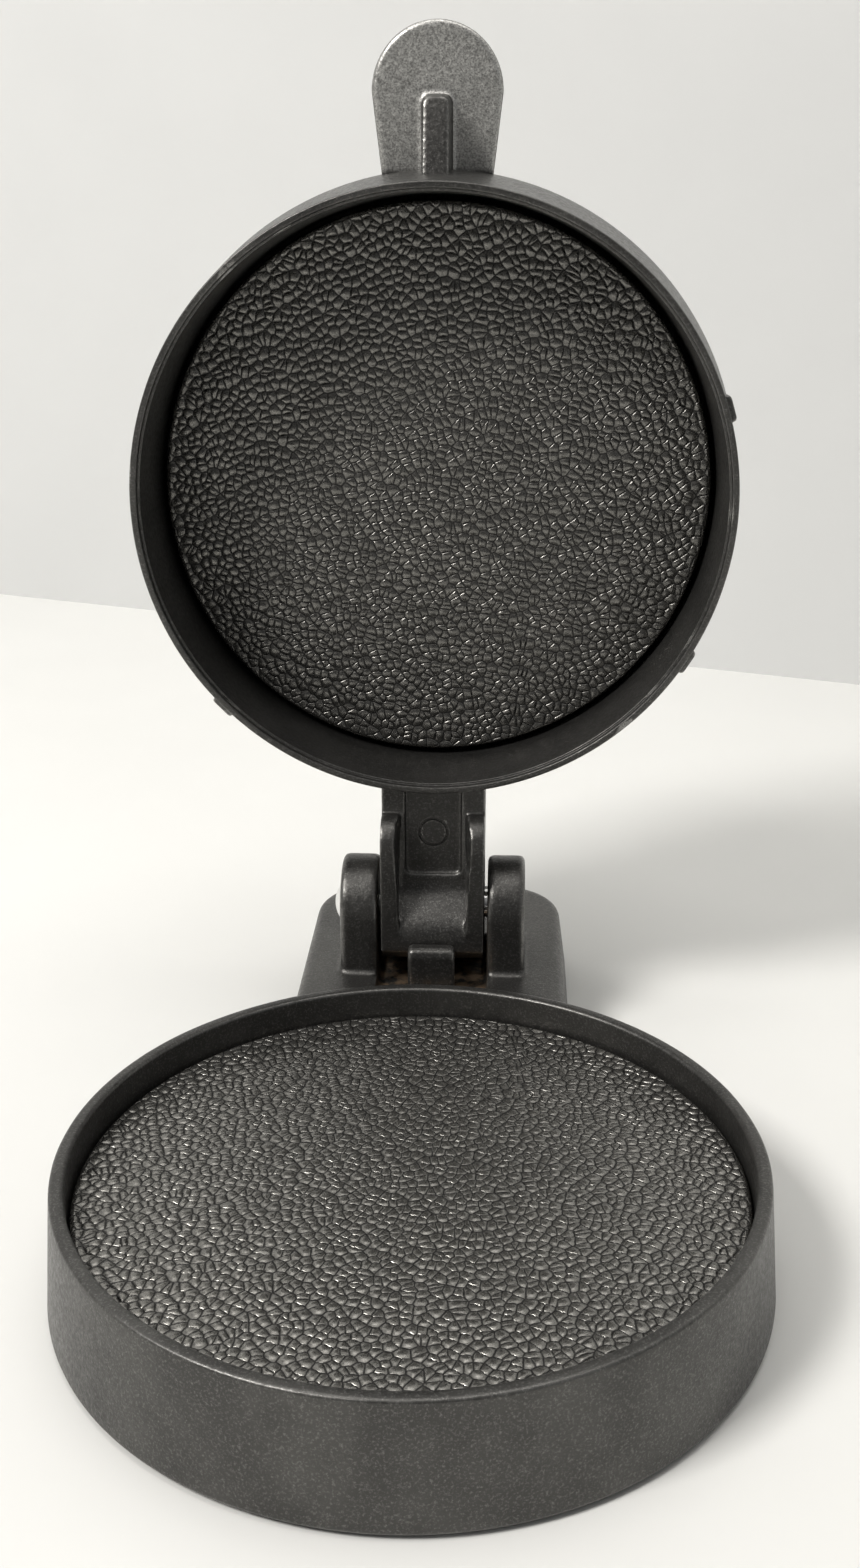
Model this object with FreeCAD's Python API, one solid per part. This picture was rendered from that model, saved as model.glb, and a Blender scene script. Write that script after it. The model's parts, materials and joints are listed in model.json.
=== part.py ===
import FreeCAD, Part
import math
import os

# Hinged burger press, millimetres, +Z up, standing on its feet with the lid swung open.
# The model is drawn with the dish axis on the Z axis and the hinge behind it (+Y), and each
# piece is moved at the end so that the origin is the bottom centre of the whole press.
# The lid and all that it carries are drawn closed, then swung open about the hinge pin.

V = FreeCAD.Vector

# ---- driving dimensions -------------------------------------------------------------------
# plates: both pebbled plates press a 4.5 inch (114.3 mm) burger
PLATE_RADIUS = 57.0
PLATE_THICK = 4.0
PLATE_CHAMFER = 0.6
PLATE_GAP = 0.5             # round the lower plate, inside the dish wall

# dish of the base
RIM_Z = 22.6                # top of the dish above the table
RIM_WIDTH = 2.5
DISH_FLARE = 1.9            # how much wider the dish is at the foot than at the rim
PLATE_BELOW_RIM = 5.6
FLOOR_THICK = 3.0
FOOT_PROUD = 0.8            # the castings stay this far above the table
RIB_ANGLES = (-90.0, -35.0, 35.0, 145.0, 215.0)
RIB_THICK = 2.5
RIB_DEPTH = 4.0

# hinge
PIN_BEHIND_RIM = 27.2       # hinge pin behind the outside of the dish
PIN_ABOVE_RIM = 5.6
PIN_RADIUS = 3.0
PIN_FIT = 0.05              # radial running clearance of every pin and shaft
KNUCKLE_WIDTH = 22.0
SIDE_GAP = 0.7              # knuckle to ear, each side
EAR_THICK = 8.0
EAR_RADIUS = 10.5
EAR_ROUND = 1.2
PIN_HEAD_STEP = 1.7         # pin head wider than the pin, on the radius
PIN_HEAD_HEIGHT = 1.8
RING_WALL = 1.6             # push-on ring at the plain end of the hinge pin
RING_THICK = 1.0
RING_RECESS = 1.6

# hinge block behind the dish
BLOCK_BELOW_PIN = 12.2      # top of the block below the hinge pin's axis
BLOCK_BEHIND_PIN = 37.8
BLOCK_SIDE = 8.3            # block outside the ears
BLOCK_CORNER = 14.0
BLOCK_FLARE = 2.0
BLOCK_WALL = 3.0
BLOCK_ROUND = 2.0
BLOCK_LAP = 17.5            # how far the block reaches in under the dish

# ejector lever, its pin and the stem that it lifts
LEVER_BEHIND_RIM = 8.0      # lever pin behind the outside of the dish
LEVER_PIVOT_Z = 5.6
LEVER_PIN_RADIUS = 2.0
LEVER_BOSS_WALL = 2.2
LEVER_WIDTH = 9.9
LEVER_TIP_WIDTH = 5.4
LEVER_ARM_THICK = 3.3
LEVER_ARM_TOP_Z = 4.7
LEVER_TIP_REACH = 4.0       # the tip goes this far past the stem's axis
TAB_BEFORE_PIN = 15.6       # front face of the tab in front of the hinge pin
TAB_BELOW_PIN = 4.0         # top of the tab below the hinge pin's axis
TAB_THICK = 4.0
TAB_ROUND = 1.0
SLOT_FRONT_GAP = 0.8        # slot edge in front of the tab
SLOT_BEHIND_PIN = 5.8
SIDE_CLEARANCE = 0.4        # lever to the bosses and walls beside it
BOSS_WALL = 4.0
BOSS_LENGTH = 8.0           # bosses of the lever pin, in front of it
STEM_RADIUS = 7.0
STEM_BOTTOM_Z = 5.0
STEM_SPIGOT_RADIUS = 3.0
STEM_SPIGOT_LENGTH = 2.4
GUIDE_WALL = 4.0
GUIDE_BOTTOM_Z = 5.2

# feet
FOOT_RADIUS = 5.0
FOOT_THICK = 2.0
FOOT_WALL = 1.6
FOOT_INSET = 10.5           # centres of the dish feet inside the dish wall
FOOT_ANGLES = (-90.0, 25.0, 155.0)
REAR_FOOT_X = 17.0
REAR_FOOT_INSET = 12.0      # rear feet in front of the block's rear edge

# lid
LID_GAP = 0.2               # closed lid rim above the dish rim
LID_OVERHANG = 0.2          # lid rim wider than the dish rim, on the radius
LID_LIP = 1.3               # width of the lid rim's lip
LID_FLARE = 3.2             # how much wider the lid is at its back than at its rim
LID_DEPTH = 31.5
LID_BACK_THICK = 3.0
LID_BACK_ROUND = 3.0
PLATE_RECESS = 21.1         # upper plate behind the lid rim
LID_LEAN = 1.5              # open lid leans back past upright, degrees
LIP_LEDGE = 1.4             # depth of the fine step just inside the lip
LIP_STEP = 0.5

# lid arm, cheeks and knuckle, measured from the hinge pin in the closed lid
KNUCKLE_DOWN = 9.5
KNUCKLE_UP = 9.5
KNUCKLE_REAR = 10.0
KNUCKLE_ROUND = 2.5
KNUCKLE_BEVEL_START = 3.0   # rear upper bevel of the knuckle, behind the pin
KNUCKLE_BEVEL_END = 2.0     # and above it
SHOULDER_FRONT = 21.5
SHOULDER_ROUND = 6.0
CHEEK_THICK = 2.8
WEB_DOWN = 2.5
WEB_ROUND = 1.2
WEB_FOOT = ((3.5, 5.5), (1.5, 8.0), (-1.0, 10.5))   # web under the pin: (in front of it, below it)
POCKET_HALF_WIDTH = 6.1
POCKET_DEPTH = 1.0
POCKET_REAR = 6.6           # rear end of the pocket in front of the pin
POCKET_ROUND = 1.5
POCKET_REACH = 3.0          # pocket in front of the shoulder
MARK_FRONT = 18.0           # round mark in front of the pin
MARK_RADIUS = 3.0
MARK_DEPTH = 0.35
ARM_TOP_DEPTH = 27.0        # where the arm's top leaves the lid wall
ARM_ROOT = 5.2              # arm buried in the lid wall
ARM_CROWN_REAR = 2.5        # highest point of the arm's back, behind the shoulder
ARM_CROWN_RISE = 3.3        # and above the knuckle
ARM_TOP_END = 2.0           # arm's back meets the knuckle this far in front of the pin
HEEL_LENGTH = 5.0
HEEL_START = 8.0
HEEL_ROUND = 1.0
STOP_GAP = 0.15             # open lid's heel above the block

# handle
PADDLE_RADIUS = 13.1
PADDLE_REACH = 17.2         # paddle's centre in front of the lid rim
PADDLE_NECK_HALF = 10.9
PADDLE_THICK = 4.5
PADDLE_ROUND = 1.0
HANDLE_RIB_WIDTH = 5.2
HANDLE_RIB_DRAFT = 0.9
HANDLE_RIB_REACH = 15.8     # end of the rib in front of the lid rim
HANDLE_RIB_DEEP = 12.0
HANDLE_RIB_SHALLOW = 7.0

# screw adjuster of the upper plate
SCREW_RADIUS = 4.0
FLANGE_STEP = 1.4           # flange wider than the screw, on the radius
FLANGE_THICK = 1.8
AXIAL_PLAY = 0.1
HUB_WALL = 4.05             # hub of the upper plate round the flange
HUB_HEIGHT = 1.2
SOCKET_DEPTH = 2.0          # below the hub's face
KEEPER_THICK = 1.2
KEEPER_SCREW_RADIUS = 1.0
KEEPER_SCREW_LENGTH = 2.6
KEEPER_SCREW_COUNT = 3
BOSS_POCKET_GAP = 0.7
SCREW_BOSS_WALL = 2.8       # screw boss round the pocket for the hub
SCREW_BOSS_HEIGHT = 7.5
SCREW_BOSS_ROUND = 1.0
PRESS_TRAVEL_OUT = 14.0     # upper plate towards the rim
KNOB_WALL = 3.5
KNOB_BOSS_GAP = 2.5         # knob to screw boss
KNOB_HEIGHT = 17.0
KNOB_TOP_THICK = 4.0
KNOB_TOP_ROUND = 1.6
KNOB_HUB_WALL = 4.0
KNOB_FLUTES = 10
KNOB_FLUTE_RADIUS = 4.0
KNOB_FLUTE_DEPTH = 1.4
KNOB_LIFT = 0.6             # knob to lid back when the plate is furthest out
KNOB_COVER = 1.5            # knob's end over the screw's end
CROSS_PIN_RADIUS = 1.5

# casting marks on the lid wall: angle from +X in degrees, closed lid
GATE_ANGLES = (-18.0, 31.5, 136.0)
GATE_WIDTH = 7.0
GATE_PROUD = 0.9
GATE_START = 1.5            # behind the lid rim
GATE_HEIGHT = 6.0

# ---- sizes worked out from the above -------------------------------------------------------
DISH_INNER = PLATE_RADIUS + PLATE_GAP
DISH_OUTER = DISH_INNER + RIM_WIDTH
PLATE_TOP_Z = RIM_Z - PLATE_BELOW_RIM
PLATE_BOTTOM_Z = PLATE_TOP_Z - PLATE_THICK
FLOOR_BOTTOM_Z = PLATE_BOTTOM_Z - FLOOR_THICK
HINGE_Y = DISH_OUTER + PIN_BEHIND_RIM
HINGE_Z = RIM_Z + PIN_ABOVE_RIM
EAR_INNER = KNUCKLE_WIDTH / 2 + SIDE_GAP
EAR_OUTER = EAR_INNER + EAR_THICK
PIN_HEAD_RADIUS = PIN_RADIUS + PIN_HEAD_STEP
RING_RADIUS = PIN_RADIUS + RING_WALL
BLOCK_TOP_Z = HINGE_Z - BLOCK_BELOW_PIN
BLOCK_CEILING_Z = BLOCK_TOP_Z - BLOCK_WALL
BLOCK_HALF_WIDTH = EAR_OUTER + BLOCK_SIDE
BLOCK_FRONT_Y = DISH_INNER - BLOCK_LAP
BLOCK_REAR_Y = HINGE_Y + BLOCK_BEHIND_PIN
LEVER_PIVOT_Y = DISH_OUTER + LEVER_BEHIND_RIM
LEVER_BOSS_RADIUS = LEVER_PIN_RADIUS + LEVER_BOSS_WALL
LEVER_ARM_BOTTOM_Z = LEVER_ARM_TOP_Z - LEVER_ARM_THICK
LEVER_SLOT_HALF = LEVER_WIDTH / 2 + SIDE_CLEARANCE
LEVER_PIN_HALF = LEVER_SLOT_HALF + BOSS_WALL
TAB_FRONT_Y = HINGE_Y - TAB_BEFORE_PIN
TAB_REAR_Y = TAB_FRONT_Y + TAB_THICK
TAB_TOP_Z = HINGE_Z - TAB_BELOW_PIN
SLOT_FRONT_Y = TAB_FRONT_Y - SLOT_FRONT_GAP
SLOT_REAR_Y = HINGE_Y + SLOT_BEHIND_PIN
FOOT_CIRCLE_RADIUS = DISH_INNER - FOOT_INSET
LID_RIM_RADIUS = DISH_OUTER + LID_OVERHANG
LID_INNER = LID_RIM_RADIUS - LID_LIP
LID_Z = RIM_Z + LID_GAP
LID_BACK_Z = LID_Z + LID_DEPTH
BACK_INNER_Z = LID_BACK_Z - LID_BACK_THICK
FLANGE_RADIUS = SCREW_RADIUS + FLANGE_STEP
HUB_RADIUS = FLANGE_RADIUS + PIN_FIT + HUB_WALL
KEEPER_SCREW_CIRCLE = (FLANGE_RADIUS + PIN_FIT + HUB_RADIUS) / 2
PRESS_FACE_Z = LID_Z + PLATE_RECESS
PRESS_BACK_Z = PRESS_FACE_Z + PLATE_THICK
HUB_TOP_Z = PRESS_BACK_Z + HUB_HEIGHT
KEEPER_TOP_Z = HUB_TOP_Z + KEEPER_THICK
SCREW_BOSS_RADIUS = HUB_RADIUS + BOSS_POCKET_GAP + SCREW_BOSS_WALL
BOSS_TOP_Z = LID_BACK_Z + SCREW_BOSS_HEIGHT
KNOB_RADIUS = SCREW_BOSS_RADIUS + KNOB_BOSS_GAP + KNOB_WALL
KNOB_HUB_RADIUS = SCREW_RADIUS + KNOB_HUB_WALL
KNOB_BOTTOM_Z = LID_BACK_Z + KNOB_LIFT + PRESS_TRAVEL_OUT
KNOB_TOP_Z = KNOB_BOTTOM_Z + KNOB_HEIGHT
KNOB_CAVITY_TOP_Z = KNOB_TOP_Z - KNOB_TOP_THICK
KNOB_HUB_BOTTOM_Z = BOSS_TOP_Z + KNOB_LIFT + PRESS_TRAVEL_OUT
SCREW_TOP_Z = KNOB_TOP_Z - KNOB_COVER
CROSS_PIN_Z = (KNOB_HUB_BOTTOM_Z + KNOB_CAVITY_TOP_Z) / 2
OPEN_ANGLE = 90.0 + LID_LEAN
OVER = 1.0                  # how far cutting tools reach past what they cut
TOUCH = 1e-4                # two places closer than this are the same place


# ---- helpers ---------------------------------------------------------------------------------
def rod(radius, low, high, x=0.0, y=0.0):
    """Upright cylinder between two heights."""
    return Part.makeCylinder(radius, high - low, V(x, y, low))


def cross_rod(radius, left, right, y, z):
    """Cylinder along X between two places."""
    return Part.makeCylinder(radius, right - left, V(left, y, z), V(1, 0, 0))


def slab(x, y, z):
    """Box from (low, high) pairs."""
    return Part.makeBox(x[1] - x[0], y[1] - y[0], z[1] - z[0], V(x[0], y[0], z[0]))


def polygon(points):
    """Closed wire through points."""
    return Part.makePolygon(list(points) + [points[0]])


def spun(profile):
    """Solid of revolution about Z from (radius, height) points."""
    face = Part.Face(polygon([V(r, 0, z) for r, z in profile]))
    return face.revolve(V(0, 0, 0), V(0, 0, 1), 360)


def side_plate(wire, left, right):
    """Solid from a closed wire in the YZ plane, between two X places."""
    solid = Part.Face(wire).extrude(V(right - left, 0, 0))
    solid.translate(V(left, 0, 0))
    return solid


def side_polygon(points):
    """Closed wire in the YZ plane through (y, z) points."""
    return polygon([V(0, y, z) for y, z in points])


def rounded(solid, radius, wanted):
    """Round the edges for which wanted(edge) is true."""
    edges = [edge for edge in solid.Edges if wanted(edge)]
    return solid.makeFillet(radius, edges)


def turned(solid, degrees):
    """Copy turned about the Z axis."""
    copy = solid.copy()
    copy.rotate(V(0, 0, 0), V(0, 0, 1), degrees)
    return copy


def swung(solid, degrees):
    """Copy swung about the hinge pin; positive opens the lid."""
    copy = solid.copy()
    copy.rotate(V(0, HINGE_Y, HINGE_Z), V(-1, 0, 0), degrees)
    return copy


def lies_at_height(edge, z):
    """True for an edge that lies wholly at one height."""
    box = edge.BoundBox
    return abs(box.ZMin - z) < TOUCH and abs(box.ZMax - z) < TOUCH


# ---- base ------------------------------------------------------------------------------------
def block_outline(grow, z):
    """Outline of the hinge block at one height, grown outwards by grow."""
    half = BLOCK_HALF_WIDTH + grow
    rear = BLOCK_REAR_Y + grow
    corner = BLOCK_CORNER + grow
    bend = corner * (1 - math.sqrt(0.5))
    front = BLOCK_FRONT_Y
    left_arc = Part.Arc(V(-half, rear - corner, z), V(-half + bend, rear - bend, z),
                        V(-half + corner, rear, z))
    right_arc = Part.Arc(V(half - corner, rear, z), V(half - bend, rear - bend, z),
                         V(half, rear - corner, z))
    return Part.Wire([
        Part.makeLine(V(half, front, z), V(-half, front, z)),
        Part.makeLine(V(-half, front, z), V(-half, rear - corner, z)),
        left_arc.toShape(),
        Part.makeLine(V(-half + corner, rear, z), V(half - corner, rear, z)),
        right_arc.toShape(),
        Part.makeLine(V(half, rear - corner, z), V(half, front, z)),
    ])


def make_block():
    """Hinge block as a full solid, and the hollow to take out of it."""
    outer = Part.makeLoft([block_outline(BLOCK_FLARE, FOOT_PROUD),
                           block_outline(0.0, BLOCK_TOP_Z)], True, True)
    outer = rounded(outer, BLOCK_ROUND, lambda edge: lies_at_height(edge, BLOCK_TOP_Z))
    hollow = Part.makeLoft([block_outline(BLOCK_FLARE - BLOCK_WALL, FOOT_PROUD - OVER),
                            block_outline(-BLOCK_WALL, BLOCK_CEILING_Z)], True, True)
    return outer, hollow


def make_ear(side):
    """One ear of the hinge; side is -1 or 1."""
    left, right = sorted((side * EAR_INNER, side * EAR_OUTER))
    foot_z = BLOCK_CEILING_Z
    front = HINGE_Y - EAR_RADIUS
    rear = HINGE_Y + EAR_RADIUS
    top = Part.Arc(V(0, rear, HINGE_Z), V(0, HINGE_Y, HINGE_Z + EAR_RADIUS), V(0, front, HINGE_Z))
    wire = Part.Wire([
        Part.makeLine(V(0, front, HINGE_Z), V(0, front, foot_z)),
        Part.makeLine(V(0, front, foot_z), V(0, rear, foot_z)),
        Part.makeLine(V(0, rear, foot_z), V(0, rear, HINGE_Z)),
        top.toShape(),
    ])
    ear = side_plate(wire, left, right)
    return rounded(ear, EAR_ROUND, lambda edge: edge.BoundBox.ZMax > foot_z + OVER
                   and edge.BoundBox.XLength < TOUCH)


def make_base_casting():
    """Dish, floor, ribs, hinge block and ears: one casting."""
    foot_radius = DISH_OUTER + DISH_FLARE
    dish = spun([(0, FOOT_PROUD), (foot_radius, FOOT_PROUD), (DISH_OUTER, RIM_Z), (0, RIM_Z)])
    wall = spun([(DISH_INNER, FOOT_PROUD), (foot_radius, FOOT_PROUD),
                 (DISH_OUTER, RIM_Z), (DISH_INNER, RIM_Z)])
    block, block_hollow = make_block()
    casting = dish.fuse(block)
    casting = casting.cut(rod(DISH_INNER, PLATE_BOTTOM_Z, RIM_Z + OVER))
    casting = casting.cut(rod(DISH_INNER, -OVER, FLOOR_BOTTOM_Z))
    casting = casting.cut(block_hollow.cut(rod(foot_radius, -OVER, RIM_Z)))
    casting = casting.fuse(wall)

    for angle in RIB_ANGLES:
        rib = slab((0, DISH_INNER + OVER), (-RIB_THICK / 2, RIB_THICK / 2),
                   (FLOOR_BOTTOM_Z - RIB_DEPTH, FLOOR_BOTTOM_Z + OVER))
        casting = casting.fuse(turned(rib, angle))
    casting = casting.fuse(rod(STEM_RADIUS + GUIDE_WALL, GUIDE_BOTTOM_Z, FLOOR_BOTTOM_Z + OVER))
    for x, y in foot_places():
        boss_top = FLOOR_BOTTOM_Z if math.hypot(x, y) < DISH_INNER else BLOCK_CEILING_Z
        casting = casting.fuse(rod(FOOT_RADIUS + FOOT_WALL, FOOT_PROUD, boss_top + OVER, x, y))
    for side in (-1, 1):
        inner = side * LEVER_SLOT_HALF
        outer = side * (LEVER_SLOT_HALF + BOSS_WALL)
        casting = casting.fuse(slab((min(inner, outer), max(inner, outer)),
                                    (LEVER_PIVOT_Y - BOSS_LENGTH, SLOT_FRONT_Y),
                                    (FOOT_PROUD + OVER, BLOCK_TOP_Z - OVER)))
        casting = casting.fuse(make_ear(side))

    tip_half = LEVER_TIP_WIDTH / 2 + SIDE_CLEARANCE
    tip_end = -LEVER_TIP_REACH - OVER
    guide_end = STEM_RADIUS + GUIDE_WALL + OVER
    cuts = [
        rod(STEM_RADIUS + PIN_FIT, -OVER, RIM_Z),
        slab((-EAR_INNER, EAR_INNER), (SLOT_FRONT_Y, SLOT_REAR_Y), (-OVER, BLOCK_TOP_Z + OVER)),
        slab((-tip_half, tip_half), (tip_end, guide_end), (-OVER, FLOOR_BOTTOM_Z)),
        slab((-LEVER_SLOT_HALF, LEVER_SLOT_HALF), (DISH_INNER - OVER, SLOT_FRONT_Y),
             (-OVER, BLOCK_CEILING_Z)),
        cross_rod(LEVER_PIN_RADIUS, -LEVER_PIN_HALF, LEVER_PIN_HALF, LEVER_PIVOT_Y, LEVER_PIVOT_Z),
        cross_rod(PIN_RADIUS + PIN_FIT, -EAR_OUTER - OVER, EAR_OUTER + OVER, HINGE_Y, HINGE_Z),
        cross_rod(RING_RADIUS + PIN_FIT, EAR_OUTER - RING_RECESS, EAR_OUTER + OVER, HINGE_Y, HINGE_Z),
    ]
    for x, y in foot_places():
        cuts.append(rod(FOOT_RADIUS, -OVER, FOOT_THICK, x, y))
    for tool in cuts:
        casting = casting.cut(tool)
    return casting.removeSplitter()


def foot_places():
    """Centres of the five feet."""
    places = []
    for angle in FOOT_ANGLES:
        turn = math.radians(angle)
        places.append((FOOT_CIRCLE_RADIUS * math.cos(turn), FOOT_CIRCLE_RADIUS * math.sin(turn)))
    rear = BLOCK_REAR_Y - REAR_FOOT_INSET
    return places + [(-REAR_FOOT_X, rear), (REAR_FOOT_X, rear)]


def make_foot(x, y):
    """Rubber foot, seated in its pocket."""
    foot = rod(FOOT_RADIUS, 0.0, FOOT_THICK, x, y)
    return rounded(foot, FOOT_PROUD / 2, lambda edge: lies_at_height(edge, 0.0))


def make_hinge_pin():
    """Hinge pin with a domed head on the left."""
    right = EAR_OUTER - RING_RECESS + RING_THICK
    shank = cross_rod(PIN_RADIUS, -EAR_OUTER, right, HINGE_Y, HINGE_Z)
    sphere_radius = (PIN_HEAD_RADIUS ** 2 + PIN_HEAD_HEIGHT ** 2) / (2 * PIN_HEAD_HEIGHT)
    top = -EAR_OUTER - PIN_HEAD_HEIGHT
    dome = Part.makeSphere(sphere_radius, V(top + sphere_radius, HINGE_Y, HINGE_Z))
    head = dome.common(cross_rod(sphere_radius, top - OVER, -EAR_OUTER, HINGE_Y, HINGE_Z))
    return shank.fuse(head).removeSplitter()


def make_pin_ring():
    """Push-on ring that holds the plain end of the hinge pin."""
    left = EAR_OUTER - RING_RECESS
    ring = cross_rod(RING_RADIUS, left, left + RING_THICK, HINGE_Y, HINGE_Z)
    return ring.cut(cross_rod(PIN_RADIUS, left - OVER, left + RING_THICK + OVER, HINGE_Y, HINGE_Z))


# ---- ejector -----------------------------------------------------------------------------------
def make_lower_plate():
    """Loose lower plate with a blind socket for its stem."""
    c = PLATE_CHAMFER
    plate = spun([(0, PLATE_BOTTOM_Z), (PLATE_RADIUS - c, PLATE_BOTTOM_Z), (PLATE_RADIUS, PLATE_BOTTOM_Z + c),
                  (PLATE_RADIUS, PLATE_TOP_Z - c), (PLATE_RADIUS - c, PLATE_TOP_Z), (0, PLATE_TOP_Z)])
    return plate.cut(rod(STEM_SPIGOT_RADIUS, PLATE_BOTTOM_Z - OVER, PLATE_BOTTOM_Z + STEM_SPIGOT_LENGTH))


def make_plate_stem():
    """Stem under the lower plate: it slides in the base and the lever lifts it."""
    stem = rod(STEM_RADIUS, STEM_BOTTOM_Z, PLATE_BOTTOM_Z)
    spigot = rod(STEM_SPIGOT_RADIUS, PLATE_BOTTOM_Z, PLATE_BOTTOM_Z + STEM_SPIGOT_LENGTH)
    return stem.fuse(spigot).removeSplitter()


def make_ejector_lever():
    """Lever under the dish; its thumb tab stands up through the slot in front of the hinge."""
    half = LEVER_WIDTH / 2
    tip_half = LEVER_TIP_WIDTH / 2
    low = LEVER_ARM_BOTTOM_Z
    wide_from = STEM_RADIUS * 2
    arm = side_plate(side_polygon([(wide_from, low), (LEVER_PIVOT_Y, low), (LEVER_PIVOT_Y, LEVER_PIVOT_Z),
                                   (LEVER_PIVOT_Y - LEVER_BOSS_RADIUS, LEVER_ARM_TOP_Z),
                                   (wide_from, LEVER_ARM_TOP_Z)]), -half, half)
    tip = slab((-tip_half, tip_half), (-LEVER_TIP_REACH, wide_from + OVER), (low, LEVER_ARM_TOP_Z))
    tip = rounded(tip, LEVER_ARM_THICK / 3, lambda edge: edge.BoundBox.YMax < -LEVER_TIP_REACH + TOUCH)
    boss = cross_rod(LEVER_BOSS_RADIUS, -half, half, LEVER_PIVOT_Y, LEVER_PIVOT_Z)
    tail = slab((-half, half), (LEVER_PIVOT_Y, TAB_REAR_Y),
                (low + OVER, LEVER_PIVOT_Z + LEVER_BOSS_RADIUS / 2))
    tab = slab((-half, half), (TAB_FRONT_Y, TAB_REAR_Y), (low + OVER, TAB_TOP_Z))
    tab = rounded(tab, TAB_ROUND, lambda edge: edge.BoundBox.ZMin > TAB_TOP_Z - TOUCH
                  or (edge.BoundBox.ZLength > TAB_THICK and edge.BoundBox.YMax < TAB_REAR_Y - OVER))
    lever = arm.fuse([tip, boss, tail, tab]).removeSplitter()
    bore = cross_rod(LEVER_PIN_RADIUS + PIN_FIT, -LEVER_WIDTH, LEVER_WIDTH, LEVER_PIVOT_Y, LEVER_PIVOT_Z)
    return lever.cut(bore)


def make_lever_pin():
    """Pin that the ejector lever rocks on."""
    return cross_rod(LEVER_PIN_RADIUS, -LEVER_PIN_HALF, LEVER_PIN_HALF, LEVER_PIVOT_Y, LEVER_PIVOT_Z)


# ---- lid, drawn closed ---------------------------------------------------------------------------
def lid_wall_radius(depth):
    """Outer radius of the lid wall at a depth behind its rim."""
    return LID_RIM_RADIUS + LID_FLARE * depth / LID_DEPTH


def arm_outline():
    """Side view of the arm behind the lid, as a closed wire."""
    y, z = HINGE_Y, HINGE_Z
    bottom = z - KNUCKLE_DOWN
    top = z + KNUCKLE_UP
    rear = y + KNUCKLE_REAR
    front = y - SHOULDER_FRONT
    web = z - WEB_DOWN
    s = SHOULDER_ROUND
    bend = s * (1 - math.sqrt(0.5))
    root = LID_RIM_RADIUS - ARM_ROOT
    arm_top = LID_Z + ARM_TOP_DEPTH
    shoulder = Part.Arc(V(0, front + s, bottom), V(0, front + bend, bottom + bend), V(0, front, bottom + s))
    back = Part.Arc(V(0, LID_RIM_RADIUS, arm_top), V(0, front + ARM_CROWN_REAR, top + ARM_CROWN_RISE),
                    V(0, y - ARM_TOP_END, top))
    return Part.Wire([
        Part.makeLine(V(0, rear, bottom), V(0, front + s, bottom)),
        shoulder.toShape(),
        Part.makeLine(V(0, front, bottom + s), V(0, front, web)),
        Part.makeLine(V(0, front, web), V(0, root, web)),
        Part.makeLine(V(0, root, web), V(0, root, arm_top)),
        Part.makeLine(V(0, root, arm_top), V(0, LID_RIM_RADIUS, arm_top)),
        back.toShape(),
        Part.makeLine(V(0, y - ARM_TOP_END, top), V(0, y + KNUCKLE_BEVEL_START, top)),
        Part.makeLine(V(0, y + KNUCKLE_BEVEL_START, top), V(0, rear, z + KNUCKLE_BEVEL_END)),
        Part.makeLine(V(0, rear, z + KNUCKLE_BEVEL_END), V(0, rear, bottom)),
    ])


def make_arm():
    """Arm behind the lid: two cheeks, the web between them, the knuckle and its stop heel."""
    y, z = HINGE_Y, HINGE_Z
    half = KNUCKLE_WIDTH / 2
    knuckle_rear = y + KNUCKLE_BEVEL_START + OVER
    arm = side_plate(arm_outline(), -half, half)
    arm = rounded(arm, KNUCKLE_ROUND, lambda edge: edge.BoundBox.XLength > half
                  and edge.BoundBox.YMin > knuckle_rear)

    gap = half - CHEEK_THICK
    front = y - SHOULDER_FRONT
    web = z - WEB_DOWN
    ramp = y - POCKET_REAR
    foot = [(y - before, z - below) for before, below in WEB_FOOT]
    low = z - WEB_FOOT[-1][1]
    channel = side_plate(side_polygon([(front - OVER, web), (ramp, web)] + foot + [(front - OVER, low)]),
                         -gap, gap)
    channel = rounded(channel, WEB_ROUND, lambda edge: edge.BoundBox.XLength > gap
                      and edge.BoundBox.YMin > ramp - TOUCH and edge.BoundBox.ZMin > low + OVER)
    pocket = slab((-POCKET_HALF_WIDTH, POCKET_HALF_WIDTH), (front - POCKET_REACH, ramp - OVER),
                  (web - OVER, web + POCKET_DEPTH))
    pocket = rounded(pocket, POCKET_ROUND, lambda edge: edge.BoundBox.ZLength > OVER)
    mark = rod(MARK_RADIUS, web, web + POCKET_DEPTH + MARK_DEPTH, 0, y - MARK_FRONT)
    arm = arm.cut(channel).cut(pocket).cut(mark)

    heel = slab((-half, half), (y + HEEL_START, y + HEEL_START + HEEL_LENGTH),
                (BLOCK_TOP_Z + STOP_GAP, z - KNUCKLE_DOWN / 3))
    heel = rounded(heel, HEEL_ROUND, lambda edge: edge.BoundBox.XLength > half)
    return arm.fuse(swung(heel, -OPEN_ANGLE))


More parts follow.
